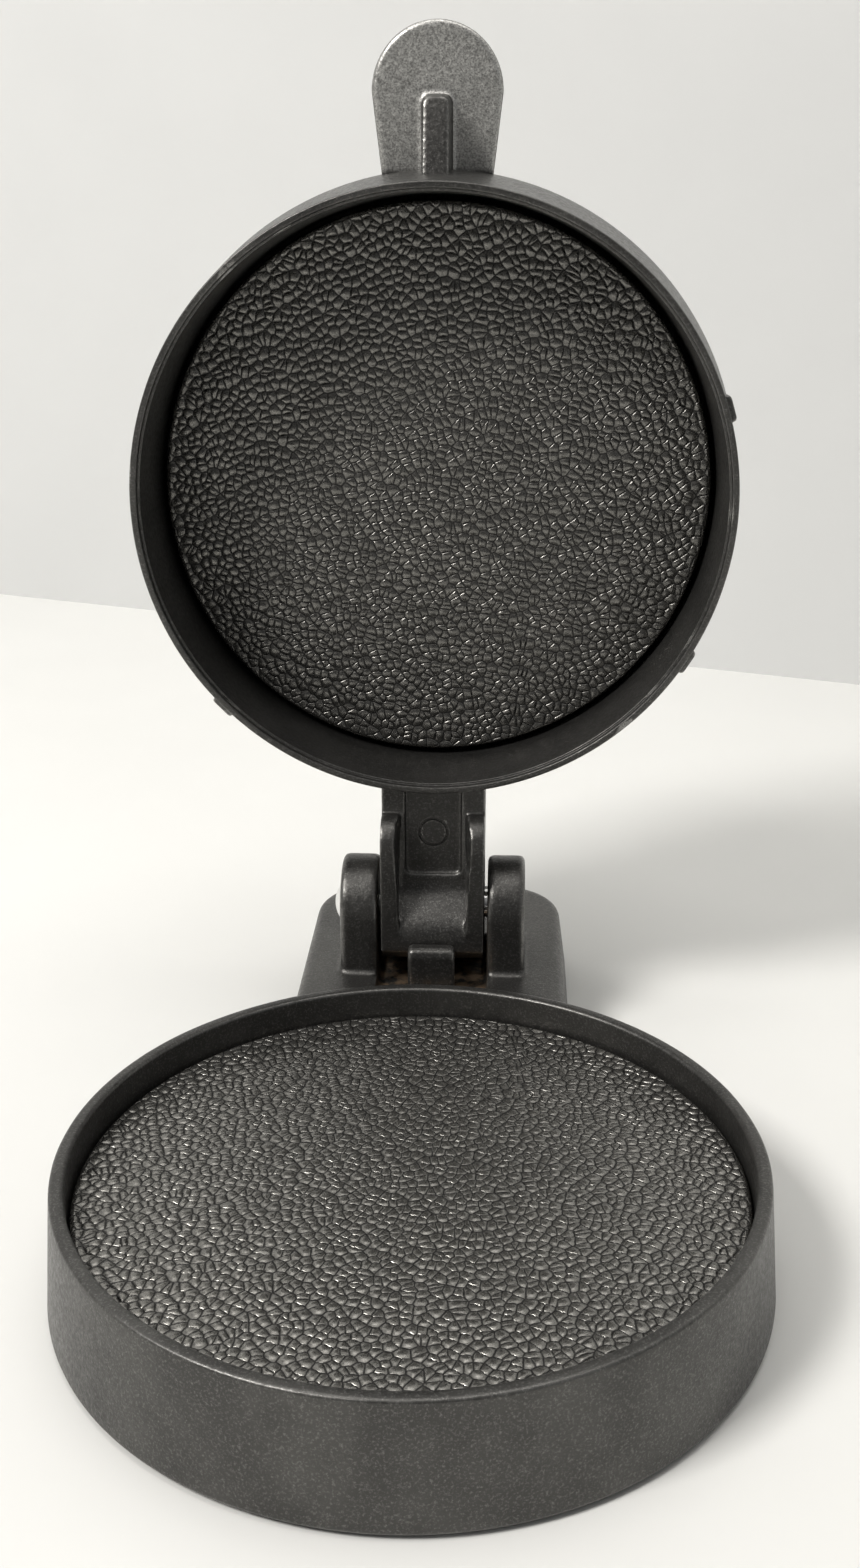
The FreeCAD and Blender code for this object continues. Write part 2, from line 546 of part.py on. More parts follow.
def make_handle():
    """Paddle in front of the lid and the rib under it."""
    top = LID_BACK_Z
    low = top - PADDLE_THICK
    root = LID_LIP - LID_RIM_RADIUS
    centre = -LID_RIM_RADIUS - PADDLE_REACH
    r = PADDLE_RADIUS
    neck = PADDLE_NECK_HALF
    tip = Part.Arc(V(-r, centre, low), V(0, centre - r, low), V(r, centre, low))
    wire = Part.Wire([
        Part.makeLine(V(neck, root, low), V(-neck, root, low)),
        Part.makeLine(V(-neck, root, low), V(-r, centre, low)),
        tip.toShape(),
        Part.makeLine(V(r, centre, low), V(neck, root, low)),
    ])
    paddle = Part.Face(wire).extrude(V(0, 0, PADDLE_THICK))
    paddle = rounded(paddle, PADDLE_ROUND, lambda edge: edge.BoundBox.YMin < root - OVER
                     and (lies_at_height(edge, low) or lies_at_height(edge, top)))
    half = HANDLE_RIB_WIDTH / 2
    wide = half + HANDLE_RIB_DRAFT
    deep = low - HANDLE_RIB_DEEP
    shallow = low - HANDLE_RIB_SHALLOW
    end = -LID_RIM_RADIUS - HANDLE_RIB_REACH
    far = end - HANDLE_RIB_DRAFT
    sunk = low + OVER
    foot = polygon([V(-wide, root, sunk), V(wide, root, sunk), V(wide, far, sunk), V(-wide, far, sunk)])
    crest = polygon([V(-half, root, deep), V(half, root, deep),
                     V(half, end, shallow), V(-half, end, shallow)])
    rib = Part.makeLoft([foot, crest], True, True)
    rib = rounded(rib, half * 0.6, lambda edge: edge.BoundBox.YMax < end + TOUCH
                  and edge.BoundBox.ZLength > HANDLE_RIB_SHALLOW / 2)
    return paddle.fuse(rib)


def make_gate(angle):
    """Low mark left on the lid wall by a gate of the casting mould."""
    outer = lid_wall_radius(GATE_HEIGHT) + GATE_PROUD
    low = LID_Z + GATE_START
    gate = slab((outer - 3 * GATE_PROUD, outer), (-GATE_WIDTH / 2, GATE_WIDTH / 2), (low, low + GATE_HEIGHT))
    gate = rounded(gate, GATE_PROUD, lambda edge: edge.BoundBox.XMin > outer - TOUCH)
    return turned(gate, angle)


def make_lid_casting():
    """Lid wall, back, screw boss, handle and hinge arm: one casting, drawn closed."""
    shell = spun([(0, LID_Z), (LID_RIM_RADIUS, LID_Z),
                  (lid_wall_radius(LID_DEPTH), LID_BACK_Z), (0, LID_BACK_Z)])
    shell = rounded(shell, LID_BACK_ROUND, lambda edge: lies_at_height(edge, LID_BACK_Z))
    boss = rod(SCREW_BOSS_RADIUS, BACK_INNER_Z, BOSS_TOP_Z)
    boss = rounded(boss, SCREW_BOSS_ROUND, lambda edge: lies_at_height(edge, BOSS_TOP_Z))
    gates = [make_gate(angle) for angle in GATE_ANGLES]
    casting = shell.fuse([boss, make_handle(), make_arm()] + gates)
    cuts = [
        rod(LID_INNER - LIP_STEP, LID_Z - OVER, BACK_INNER_Z),
        rod(LID_INNER, LID_Z - OVER, LID_Z + LIP_LEDGE),
        rod(HUB_RADIUS + BOSS_POCKET_GAP, BACK_INNER_Z - OVER, LID_BACK_Z),
        rod(SCREW_RADIUS + PIN_FIT, LID_Z, BOSS_TOP_Z + OVER),
        cross_rod(PIN_RADIUS + PIN_FIT, -KNUCKLE_WIDTH, KNUCKLE_WIDTH, HINGE_Y, HINGE_Z),
    ]
    for tool in cuts:
        casting = casting.cut(tool)
    return casting.removeSplitter()


def keeper_screw_places():
    """Centres of the screws of the keeper ring."""
    places = []
    for i in range(KEEPER_SCREW_COUNT):
        turn = math.radians(90.0 + 360.0 * i / KEEPER_SCREW_COUNT)
        places.append((KEEPER_SCREW_CIRCLE * math.cos(turn), KEEPER_SCREW_CIRCLE * math.sin(turn)))
    return places


def keeper_screw_rods(top):
    """Rods of the keeper screws' size, from the depth of their tips up to one height."""
    low = KEEPER_TOP_Z - KEEPER_SCREW_LENGTH
    return [rod(KEEPER_SCREW_RADIUS, low, top, x, y) for x, y in keeper_screw_places()]


def make_press_plate():
    """Upper plate with the hub that the screw's flange turns in."""
    c = PLATE_CHAMFER
    plate = spun([(0, PRESS_FACE_Z), (PLATE_RADIUS - c, PRESS_FACE_Z), (PLATE_RADIUS, PRESS_FACE_Z + c),
                  (PLATE_RADIUS, PRESS_BACK_Z - c), (PLATE_RADIUS - c, PRESS_BACK_Z), (0, PRESS_BACK_Z)])
    plate = plate.fuse(rod(HUB_RADIUS, PRESS_BACK_Z - OVER, HUB_TOP_Z))
    plate = plate.cut(rod(FLANGE_RADIUS + PIN_FIT, HUB_TOP_Z - SOCKET_DEPTH, HUB_TOP_Z + OVER))
    for hole in keeper_screw_rods(HUB_TOP_Z + OVER):
        plate = plate.cut(hole)
    return plate.removeSplitter()


def make_keeper_ring():
    """Ring that keeps the screw's flange in the plate's hub."""
    ring = rod(HUB_RADIUS, HUB_TOP_Z, KEEPER_TOP_Z)
    ring = ring.cut(rod(SCREW_RADIUS + PIN_FIT, HUB_TOP_Z - OVER, KEEPER_TOP_Z + OVER))
    for hole in keeper_screw_rods(KEEPER_TOP_Z + OVER):
        ring = ring.cut(hole)
    return ring


def make_keeper_screws():
    """Countersunk screws, flush with the keeper ring."""
    return Part.makeCompound(keeper_screw_rods(KEEPER_TOP_Z))


def make_press_screw():
    """Adjusting screw: a flange in the plate's hub, the thread in the lid boss, the knob on its end."""
    flange_top = HUB_TOP_Z - AXIAL_PLAY
    screw = rod(SCREW_RADIUS, flange_top - FLANGE_THICK, SCREW_TOP_Z)
    screw = screw.fuse(rod(FLANGE_RADIUS, flange_top - FLANGE_THICK, flange_top))
    return screw.cut(cross_rod(CROSS_PIN_RADIUS, -KNOB_RADIUS, KNOB_RADIUS, 0, CROSS_PIN_Z)).removeSplitter()


def make_knob():
    """Fluted cup knob over the screw boss."""
    knob = rod(KNOB_RADIUS, KNOB_BOTTOM_Z, KNOB_TOP_Z)
    knob = rounded(knob, KNOB_TOP_ROUND, lambda edge: lies_at_height(edge, KNOB_TOP_Z))
    flute_place = KNOB_RADIUS + KNOB_FLUTE_RADIUS - KNOB_FLUTE_DEPTH
    flute = rod(KNOB_FLUTE_RADIUS, KNOB_BOTTOM_Z - OVER, KNOB_TOP_Z + OVER, flute_place)
    for i in range(KNOB_FLUTES):
        knob = knob.cut(turned(flute, 360.0 * i / KNOB_FLUTES))
    knob = knob.cut(rod(KNOB_RADIUS - KNOB_WALL, KNOB_BOTTOM_Z - OVER, KNOB_CAVITY_TOP_Z))
    knob = knob.fuse(rod(KNOB_HUB_RADIUS, KNOB_HUB_BOTTOM_Z, KNOB_CAVITY_TOP_Z + OVER))
    knob = knob.cut(rod(SCREW_RADIUS, KNOB_BOTTOM_Z - OVER, SCREW_TOP_Z))
    return knob.cut(make_knob_pin()).removeSplitter()


def make_knob_pin():
    """Cross pin that fixes the knob to the screw."""
    return cross_rod(CROSS_PIN_RADIUS, -KNOB_HUB_RADIUS, KNOB_HUB_RADIUS, 0, CROSS_PIN_Z)


# ---- assembly --------------------------------------------------------------------------------------
def build():
    """All pieces by node name, with the lid open and the origin at the bottom centre."""
    pieces = {
        "base_casting": make_base_casting(),
        "hinge_pin": make_hinge_pin(),
        "hinge_pin_ring": make_pin_ring(),
        "lower_plate": make_lower_plate(),
        "plate_stem": make_plate_stem(),
        "ejector_lever": make_ejector_lever(),
        "lever_pin": make_lever_pin(),
    }
    names = ("foot_front", "foot_right", "foot_left", "foot_rear_left", "foot_rear_right")
    for name, (x, y) in zip(names, foot_places()):
        pieces[name] = make_foot(x, y)
    lid_pieces = {
        "lid_casting": make_lid_casting(),
        "press_plate": make_press_plate(),
        "keeper_ring": make_keeper_ring(),
        "keeper_screws": make_keeper_screws(),
        "press_screw": make_press_screw(),
        "adjusting_knob": make_knob(),
        "knob_pin": make_knob_pin(),
    }
    for name, shape in lid_pieces.items():
        pieces[name] = swung(shape, OPEN_ANGLE)
    box = Part.makeCompound(list(pieces.values())).BoundBox
    shift = V(-(box.XMin + box.XMax) / 2, -(box.YMin + box.YMax) / 2, -box.ZMin)
    for shape in pieces.values():
        shape.translate(shift)
    return pieces, shift


def main():
    """Write one STEP file per node."""
    os.makedirs("parts", exist_ok=True)
    pieces, shift = build()
    for name, shape in pieces.items():
        shape.exportStep("parts/%s.step" % name)
        facts = (name, len(shape.Solids), shape.isValid(), shape.Volume)
        print("%-16s %d solids, valid %s, %9.1f mm3" % facts)
    print("dish axis at y %.3f, hinge pin at y %.3f z %.3f" % (shift.y, HINGE_Y + shift.y, HINGE_Z + shift.z))
    print("lever pin at y %.3f z %.3f" % (LEVER_PIVOT_Y + shift.y, LEVER_PIVOT_Z + shift.z))


main()
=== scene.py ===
import json
import logging
import math
from contextlib import contextmanager
from dataclasses import dataclass
from enum import Enum
from typing import Callable, Iterator, Sequence

import bmesh
import bpy
from mathutils import Matrix, Vector

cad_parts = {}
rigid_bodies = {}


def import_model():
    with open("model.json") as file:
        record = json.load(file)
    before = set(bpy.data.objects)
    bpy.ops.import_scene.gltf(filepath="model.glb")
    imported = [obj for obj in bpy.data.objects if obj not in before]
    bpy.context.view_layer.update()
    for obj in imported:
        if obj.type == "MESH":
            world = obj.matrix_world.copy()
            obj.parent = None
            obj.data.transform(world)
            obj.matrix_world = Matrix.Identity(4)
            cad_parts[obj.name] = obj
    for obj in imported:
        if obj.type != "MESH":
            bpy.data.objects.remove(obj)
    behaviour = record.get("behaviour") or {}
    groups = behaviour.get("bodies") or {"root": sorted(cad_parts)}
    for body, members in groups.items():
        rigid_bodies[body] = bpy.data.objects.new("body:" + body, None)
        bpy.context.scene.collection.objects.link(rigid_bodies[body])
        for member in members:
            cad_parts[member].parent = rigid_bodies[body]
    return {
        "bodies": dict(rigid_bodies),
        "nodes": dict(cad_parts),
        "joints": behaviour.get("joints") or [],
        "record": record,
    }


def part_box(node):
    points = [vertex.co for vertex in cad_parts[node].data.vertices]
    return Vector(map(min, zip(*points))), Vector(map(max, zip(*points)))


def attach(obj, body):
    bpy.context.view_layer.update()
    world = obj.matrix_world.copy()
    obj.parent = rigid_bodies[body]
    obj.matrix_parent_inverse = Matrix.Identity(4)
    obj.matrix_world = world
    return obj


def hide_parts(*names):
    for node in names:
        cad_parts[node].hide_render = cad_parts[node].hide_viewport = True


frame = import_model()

log = logging.getLogger("burger_press")
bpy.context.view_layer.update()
MM = 0.001
Point2 = tuple[float, float]
Point3 = tuple[float, float, float]
Piece = bpy.types.Object
Material = bpy.types.Material
Tree = bpy.types.NodeTree
Node = bpy.types.Node
Socket = bpy.types.NodeSocket
Test = Callable[[Vector, Vector], bool]

# Sides of round shapes, from the large turned castings down to the small pins.
TURNED_SIDES, WIDE_SIDES, BORE_SIDES, PEG_SIDES, PIN_SIDES = 288, 192, 96, 64, 48
PROFILE_STEPS, PROFILE_STRIDE = 5, 2.4  # points round a corner, longest straight run in mm
SWELL_SIZE = 16.0  # distance between the swells of a cast face in mm


# ---------------------------------------------------------------- places read from the frame
@dataclass(frozen=True)
class Layout:
    """Where the press's main lines lie, in metres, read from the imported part."""

    dish_y: float
    hinge: Vector
    swing: float

    @classmethod
    def from_frame(cls, packed: dict) -> "Layout":
        """Read the dish axis, the hinge pin and the open angle.


        Returns:
            The layout of the press.
        """
        low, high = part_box("lower_plate")
        joint = next(j for j in packed["joints"] if j["name"] == "lid_hinge")
        return cls(
            dish_y=(low.y + high.y) / 2,
            hinge=Vector(joint["pos_m"]),
            swing=math.radians(joint["range_deg"][1]),
        )

    def opening(self) -> Matrix:
        """Turn about the hinge pin that takes the closed lid to the open one."""
        return turn_about(self.hinge, -self.swing, "X")


# ---------------------------------------------------------------- bench tools
def clear_selection() -> None:
    """Deselect everything, so that the next operator acts on its own piece."""
    bpy.ops.object.select_all(action="DESELECT")


def pick(piece: Piece, *others: Piece) -> None:
    """Select pieces and make the first one active.

    Args:
        piece: the active piece.
        others: pieces selected with it.
    """
    clear_selection()
    for other in (piece, *others):
        other.select_set(True)
    bpy.context.view_layer.objects.active = piece


def settle(piece: Piece) -> Piece:
    """Put a piece's place and turn into its mesh, so that its object sits at the origin."""
    pick(piece)
    bpy.ops.object.transform_apply(location=True, rotation=True, scale=True)
    return piece


def move_by(piece: Piece, matrix: Matrix) -> Piece:
    """Move a finished piece and put the move into its mesh."""
    piece.matrix_world = matrix @ piece.matrix_world
    return settle(piece)


def turn_about(point: Vector, angle: float, axis: str) -> Matrix:
    """Turn by an angle in radians about the line through a point along X, Y or Z."""
    there = Matrix.Translation(point)
    return there @ Matrix.Rotation(angle, 4, axis) @ there.inverted()


def fresh(name: str) -> Piece:
    """Name the piece that the last operator made."""
    piece = bpy.context.object
    piece.name = name
    return piece


@contextmanager
def editing(piece: Piece) -> Iterator[Piece]:
    """Keep a piece in edit mode for as long as the block under it runs."""
    pick(piece)
    bpy.ops.object.mode_set(mode="EDIT")
    yield piece
    bpy.ops.object.mode_set(mode="OBJECT")


def face_outward() -> None:
    """Make every face of the piece being edited look out."""
    bpy.ops.mesh.select_all(action="SELECT")
    bpy.ops.mesh.normals_make_consistent(inside=False)


def lie(item: bmesh.types.BMFace | bmesh.types.BMEdge) -> tuple[Vector, Vector]:
    """Middle of a face with its normal, or middle of an edge with its run."""
    if isinstance(item, bmesh.types.BMFace):
        return item.calc_center_median(), item.normal
    one, two = (vertex.co for vertex in item.verts)
    return (one + two) / 2, (two - one).normalized()


def choose(piece: Piece, kind: str, test: Test) -> int:
    """Select faces or edges of the piece being edited.

    Args:
        piece: a mesh piece in edit mode.
        kind: "faces" or "edges".
        test: true for a middle point and a direction (face normal or edge run).

    Returns:
        How many were selected.
    """
    mesh = bmesh.from_edit_mesh(piece.data)
    bpy.ops.mesh.select_all(action="DESELECT")
    bpy.ops.mesh.select_mode(type="FACE" if kind == "faces" else "EDGE")
    count = 0
    for item in getattr(mesh, kind):
        if test(*lie(item)):
            item.select_set(True)
            count += 1
    mesh.select_flush_mode()
    bmesh.update_edit_mesh(piece.data)
    return count


def apply_modifier(piece: Piece, kind: str, **settings: object) -> None:
    """Add one modifier, set it and apply it at once.

    Args:
        piece: the piece it works on.
        kind: the modifier's type.
        settings: values set on the modifier.
    """
    pick(piece)
    modifier = piece.modifiers.new(kind.title(), kind)
    for name, value in settings.items():
        setattr(modifier, name, value)
    bpy.ops.object.modifier_apply(modifier=modifier.name)


class Join(Enum):
    """How a tool body meets the piece it works on."""

    ADD = "UNION"
    CUT = "DIFFERENCE"


def combine(piece: Piece, tools: Sequence[Piece], how: Join) -> Piece:
    """Join or cut a piece with tool bodies, which are used up.

    Args:
        piece: the piece that stays.
        tools: closed bodies.
        how: add or cut.

    Returns:
        The piece.
    """
    for tool in tools:
        apply_modifier(piece, "BOOLEAN", operation=how.value, object=tool, solver="EXACT")
        bpy.data.objects.remove(tool)
    return piece


def gather(pieces: Sequence[Piece], name: str) -> Piece:
    """Join several closed bodies into one object.

    Args:
        pieces: the bodies.
        name: the new name.

    Returns:
        The first body, now holding all of them.
    """
    pick(*pieces)
    if len(pieces) > 1:
        bpy.ops.object.join()
    pieces[0].name = name
    return pieces[0]


def cast_over(piece: Piece, voxel: float, passes: int) -> Piece:
    """Flow overlapping bodies into one skin with soft corners, as a casting has.

    Args:
        piece: closed bodies in one object.
        voxel: size of the skin's cells in mm.
        passes: rounds of smoothing.

    Returns:
        The piece.
    """
    apply_modifier(piece, "REMESH", mode="VOXEL", voxel_size=voxel * MM, use_smooth_shade=True)
    apply_modifier(piece, "SMOOTH", factor=0.5, iterations=passes)
    return piece


def shade(piece: Piece, degrees: float = 32.0) -> Piece:
    """Shade a piece smooth except across its sharp edges."""
    pick(piece)
    bpy.ops.object.shade_smooth_by_angle(angle=math.radians(degrees))
    return piece


def soften(corners: Sequence[Point3], steps: int, stride: float = 0.0) -> list[Point2]:
    """Round the corners of a turned outline.

    Args:
        corners: (radius, height, rounding) in mm.
        steps: points round each corner.
        stride: longest straight run left undivided; 0 leaves all runs whole.

    Returns:
        (radius, height) points.
    """
    out: list[Vector] = []
    points = [Vector((r, z)) for r, z, _ in corners]
    for i, (here, (_, _, rounding)) in enumerate(zip(points, corners)):
        if rounding <= 0 or i in (0, len(points) - 1):
            out.append(here)
            continue
        back, on = points[i - 1] - here, points[i + 1] - here
        reach = min(rounding, back.length * 0.48, on.length * 0.48)
        a, b = here + back.normalized() * reach, here + on.normalized() * reach
        for k in range(steps + 1):
            t = k / steps
            out.append(a * (1 - t) ** 2 + here * 2 * t * (1 - t) + b * t * t)
    dense = [out[0]]
    for point in out[1:]:
        last = dense[-1]
        parts = max(1, math.ceil((point - last).length / stride)) if stride else 1
        dense += [last.lerp(point, k / parts) for k in range(1, parts + 1)]
    return [(p.x, p.y) for p in dense]


def raise_rings(outline: Sequence[Point2], axis: Point2) -> None:
    """Extrude what is selected from the outline's first point to its last, ring by ring.

    Args:
        outline: (radius, height) in mm; the selection lies on the first point.
        axis: (x, y) of the axis in metres.
    """
    for (radius, height), (next_radius, next_height) in zip(outline, outline[1:]):
        rise = (next_height - height) * MM
        bpy.ops.mesh.extrude_region_move(TRANSFORM_OT_translate={"value": (0.0, 0.0, rise)})
        scale = next_radius / radius
        if abs(scale - 1) > 1e-9:
            bpy.ops.transform.resize(value=(scale, scale, 1.0),
                                     center_override=(axis[0], axis[1], next_height * MM))


def turn_up(name: str, outline: Sequence[Point2], axis: Point2, segments: int) -> Piece:
    """Raise a solid ring by ring from a disc, as on a lathe.

    Args:
        name: the piece's name.
        outline: (radius, height) in mm, from the middle of one face to the middle of the other.
        axis: (x, y) of the axis in metres.
        segments: sides of the circle.

    Returns:
        The closed piece.
    """
    clear_selection()
    radius, height = outline[0]
    bpy.ops.mesh.primitive_circle_add(vertices=segments, radius=radius * MM, fill_type="NGON",
                                      location=(axis[0], axis[1], height * MM))
    with editing(settle(fresh(name))) as piece:
        bpy.ops.mesh.select_all(action="SELECT")
        raise_rings(outline, axis)
        face_outward()
    return piece


def peg(name: str, radius: float, low: Point3, high: Point3, segments: int = PEG_SIDES) -> Piece:
    """Round bar between two points.

    Args:
        name: the piece's name.
        radius: in mm.
        low: one end, in metres.
        high: the other end, in metres.
        segments: sides of the bar.

    Returns:
        The bar.
    """
    one, two = Vector(low), Vector(high)
    clear_selection()
    bpy.ops.mesh.primitive_cylinder_add(
        vertices=segments, radius=radius * MM, depth=(two - one).length, location=(one + two) / 2,
        rotation=(two - one).to_track_quat("Z", "Y").to_euler())
    return settle(fresh(name))


def bar(name: str, low: Point3, high: Point3) -> Piece:
    """Block between two corners given in metres."""
    one, two = Vector(low), Vector(high)
    clear_selection()
    bpy.ops.mesh.primitive_cube_add(size=1.0, location=(one + two) / 2)
    piece = fresh(name)
    piece.scale = two - one
    return settle(piece)


def bevel_edges(piece: Piece, width: float, segments: int, test: Test) -> Piece:
    """Round chosen edges of a piece.

    Args:
        piece: the piece.
        width: rounding in mm.
        segments: faces round the edge.
        test: true for an edge's middle and run.

    Returns:
        The piece.
    """
    with editing(piece):
        if choose(piece, "edges", test):
            bpy.ops.mesh.bevel(offset=width * MM, offset_type="OFFSET", segments=segments, affect="EDGES")
    return piece


def pull_faces(piece: Piece, test: Test, scale: Point3, about: Point3) -> Piece:
    """Scale chosen faces about a point, to give a block its draft.

    Args:
        piece: the piece.
        test: true for a face's middle and normal.
        scale: factors along X, Y and Z.
        about: the point that stays, in metres.

    Returns:
        The piece.
    """
    with editing(piece):
        choose(piece, "faces", test)
        bpy.ops.transform.resize(value=scale, center_override=about)
    return piece


def extruded(name: str, outline: Sequence[Point3], run: Point3) -> Piece:
    """Solid with a flat outline, thick along one direction.

    Args:
        name: the piece's name.
        outline: corners in metres, in order, all in one plane.
        run: thickness and direction in metres.

    Returns:
        The closed solid.
    """
    clear_selection()
    bpy.ops.mesh.primitive_circle_add(vertices=len(outline), radius=1.0, fill_type="NGON")
    piece = fresh(name)
    for vertex, corner in zip(piece.data.vertices, outline):
        vertex.co = corner
    with editing(piece):
        bpy.ops.mesh.select_all(action="SELECT")
        bpy.ops.mesh.extrude_region_move(TRANSFORM_OT_translate={"value": run})
        face_outward()
    return piece


def arc(one: Point2, middle: Point2, two: Point2, steps: int = 12) -> list[Point2]:
    """Points along the circle through three points, both ends included."""
    (ax, ay), (bx, by), (cx, cy) = one, middle, two
    d = 2 * (ax * (by - cy) + bx * (cy - ay) + cx * (ay - by))
    sa, sb, sc = ax * ax + ay * ay, bx * bx + by * by, cx * cx + cy * cy
    centre = Vector(((sa * (by - cy) + sb * (cy - ay) + sc * (ay - by)) / d,
                     (sa * (cx - bx) + sb * (ax - cx) + sc * (bx - ax)) / d))
    start, mid, end = (math.atan2(y - centre.y, x - centre.x) for x, y in (one, middle, two))
    sweep = (end - start) % math.tau
    if (mid - start) % math.tau > sweep:
        sweep -= math.tau
    radius = (Vector(one) - centre).length
    return [(centre.x + radius * math.cos(start + sweep * k / steps),
             centre.y + radius * math.sin(start + sweep * k / steps)) for k in range(steps + 1)]


def unevenness(piece: Piece, amount: float) -> Piece:
    """Let a cast face wander by a few hundredths of a millimetre.

    Args:
        piece: a finely divided piece.
        amount: full height of the wander in mm.

    Returns:
        The piece.
    """
    clouds = bpy.data.textures.new(piece.name + "_swell", "CLOUDS")
    clouds.noise_scale = SWELL_SIZE * MM
    clouds.noise_depth = 1
    apply_modifier(piece, "DISPLACE", texture=clouds, texture_coords="LOCAL", strength=amount * MM,
                   mid_level=0.62)
    return piece


# ---------------------------------------------------------------- node helpers
def node(tree: Tree, kind: str, **inputs: object) -> Node:
    """Add a node; keywords name its inputs, and a socket is linked where one is given.

    Args:
        tree: the node tree.
        kind: the node's type name.
        inputs: values or sockets by input name; spaces are written as underscores. A name that
            isn't an input is a setting of the node.

    Returns:
        The node.
    """
    made = tree.nodes.new(kind)
    later: dict[str, object] = {}
    for key, value in inputs.items():
        if hasattr(made, key) and key not in ("name", "color", "location"):
            setattr(made, key, value)
        else:
            later[key] = value
    for key, value in later.items():
        wire(tree, made.inputs[int(key[1:])] if key[0] == "i" and key[1:].isdigit()
             else made.inputs[key.replace("_", " ")], value)
    return made


def wire(tree: Tree, target: Socket, value: object) -> None:
    """Link a socket to an input, or set the input's value."""
    if isinstance(value, Socket):
        tree.links.new(value, target)
    else:
        target.default_value = value


def maths(tree: Tree, operation: str, *values: object, clamp: bool = False) -> Socket:
    """Arithmetic on numbers or sockets.

    Args:
        tree: the node tree.
        operation: the Math node's operation.
        values: up to three operands.
        clamp: keep the result between 0 and 1.

    Returns:
        The result.
    """
    made = tree.nodes.new("ShaderNodeMath")
    made.operation = operation
    made.use_clamp = clamp
    for target, value in zip(made.inputs, values):
        wire(tree, target, value)
    return made.outputs[0]


def times(tree: Tree, *values: object) -> Socket:
    """Product of two or more numbers or sockets, taken from left to right."""
    result = values[0]
    for value in values[1:]:
        result = maths(tree, "MULTIPLY", result, value)
    return result


def vector_maths(tree: Tree, operation: str, *values: object) -> Socket:
    """Arithmetic on vectors; returns the vector, or the number for a length or a dot product."""
    made = tree.nodes.new("ShaderNodeVectorMath")
    made.operation = operation
    for target, value in zip(made.inputs, values):
        wire(tree, target, value)
    return made.outputs["Value" if operation in ("LENGTH", "DISTANCE", "DOT_PRODUCT") else "Vector"]


def ramp(tree: Tree, value: Socket, low: float, high: float, out_low: float = 0.0,
         out_high: float = 1.0, smooth: bool = True) -> Socket:
    """Spread a value between two limits.

    Args:
        tree: the node tree.
        value: the number to spread.
        low: where the result is out_low.
        high: where it is out_high.
        out_low: result at low.
        out_high: result at high.
        smooth: ease in and out.

    Returns:
        The spread value.
    """
    made = node(tree, "ShaderNodeMapRange", interpolation_type="SMOOTHSTEP" if smooth else "LINEAR",
                Value=value, From_Min=low, From_Max=high, To_Min=out_low, To_Max=out_high)
    return made.outputs[0]


def window(tree: Tree, value: Socket, edges: Sequence[float]) -> Socket:
    """Full between two limits in mm and nothing outside them.

    Args:
        tree: the node tree.
        value: a length in metres.
        edges: start of the rise, its end, start of the fall and its end, in mm.

    Returns:
        A value between 0 and 1.
    """
    rise, full, fading, gone = (edge * MM for edge in edges)
    return times(tree, ramp(tree, value, rise, full), ramp(tree, value, gone, fading))


def noise(tree: Tree, place: Socket, size: float, detail: float = 3.0, roughness: float = 0.55,
          distortion: float = 0.0) -> Socket:
    """Noise with lumps of a size in mm, centred on 0.5."""
    made = node(tree, "ShaderNodeTexNoise", Vector=place, Scale=1.0 / (size * MM), Detail=detail,
                Roughness=roughness, Distortion=distortion)
    return made.outputs[0]


def blend_colour(tree: Tree, amount: Socket | float, one: object, two: object) -> Socket:
    """Mix two colours by an amount."""
    made = tree.nodes.new("ShaderNodeMix")
    made.data_type = "RGBA"
    for index, value in ((0, amount), (6, one), (7, two)):
        opaque = isinstance(value, tuple) and len(value) == 3
        wire(tree, made.inputs[index], (*value, 1.0) if opaque else value)
    return made.outputs[2]


def split(tree: Tree, place: Socket) -> tuple[Socket, Socket, Socket]:
    """Take a vector apart into its three numbers."""
    made = node(tree, "ShaderNodeSeparateXYZ", Vector=place)
    return made.outputs[0], made.outputs[1], made.outputs[2]


def flatten(tree: Tree, place: Socket) -> Socket:
    """A position with its height taken out."""
    x, y, _ = split(tree, place)
    return node(tree, "ShaderNodeCombineXYZ", X=x, Y=y, Z=0.0).outputs[0]


def pebble_height(tree: Tree, place: Socket, pitch: float) -> Socket:
    """Height of the pebbled skin, 0 in the grooves and 1 on the crowns.

    The same nodes raise the mesh and tint the finish, so the two always agree.

    Args:
        tree: a geometry or a material node tree.
        place: position on the plate, in metres, the plate lying flat.
        pitch: distance between pebbles in mm.

    Returns:
        The height.
    """
    drift_size, drift_reach, turn, disorder = 9.0 * MM, 1.8 * MM, 0.5, 0.93
    flat = flatten(tree, place)
    drift = node(tree, "ShaderNodeTexNoise", Vector=flat, Scale=1.0 / drift_size, Detail=1.0).outputs[1]
    push = vector_maths(tree, "SUBTRACT", drift, (0.5, 0.5, 0.5))
    push = vector_maths(tree, "MULTIPLY", push, (drift_reach, drift_reach, 0.0))
    turned = node(tree, "ShaderNodeVectorRotate", Vector=flat, Angle=turn).outputs[0]
    bent = vector_maths(tree, "ADD", turned, push)
    edge, middle = (
        node(tree, "ShaderNodeTexVoronoi", voronoi_dimensions="2D", feature=feature, Vector=bent,
             Scale=1.0 / (pitch * MM), Randomness=disorder).outputs["Distance"]
        for feature in ("DISTANCE_TO_EDGE", "F1"))
    wall = ramp(tree, edge, 0.015, 0.14)
    crown = ramp(tree, maths(tree, "POWER", middle, 2.0), 0.46, 0.04, 0.42, 1.0)
    return times(tree, wall, crown)


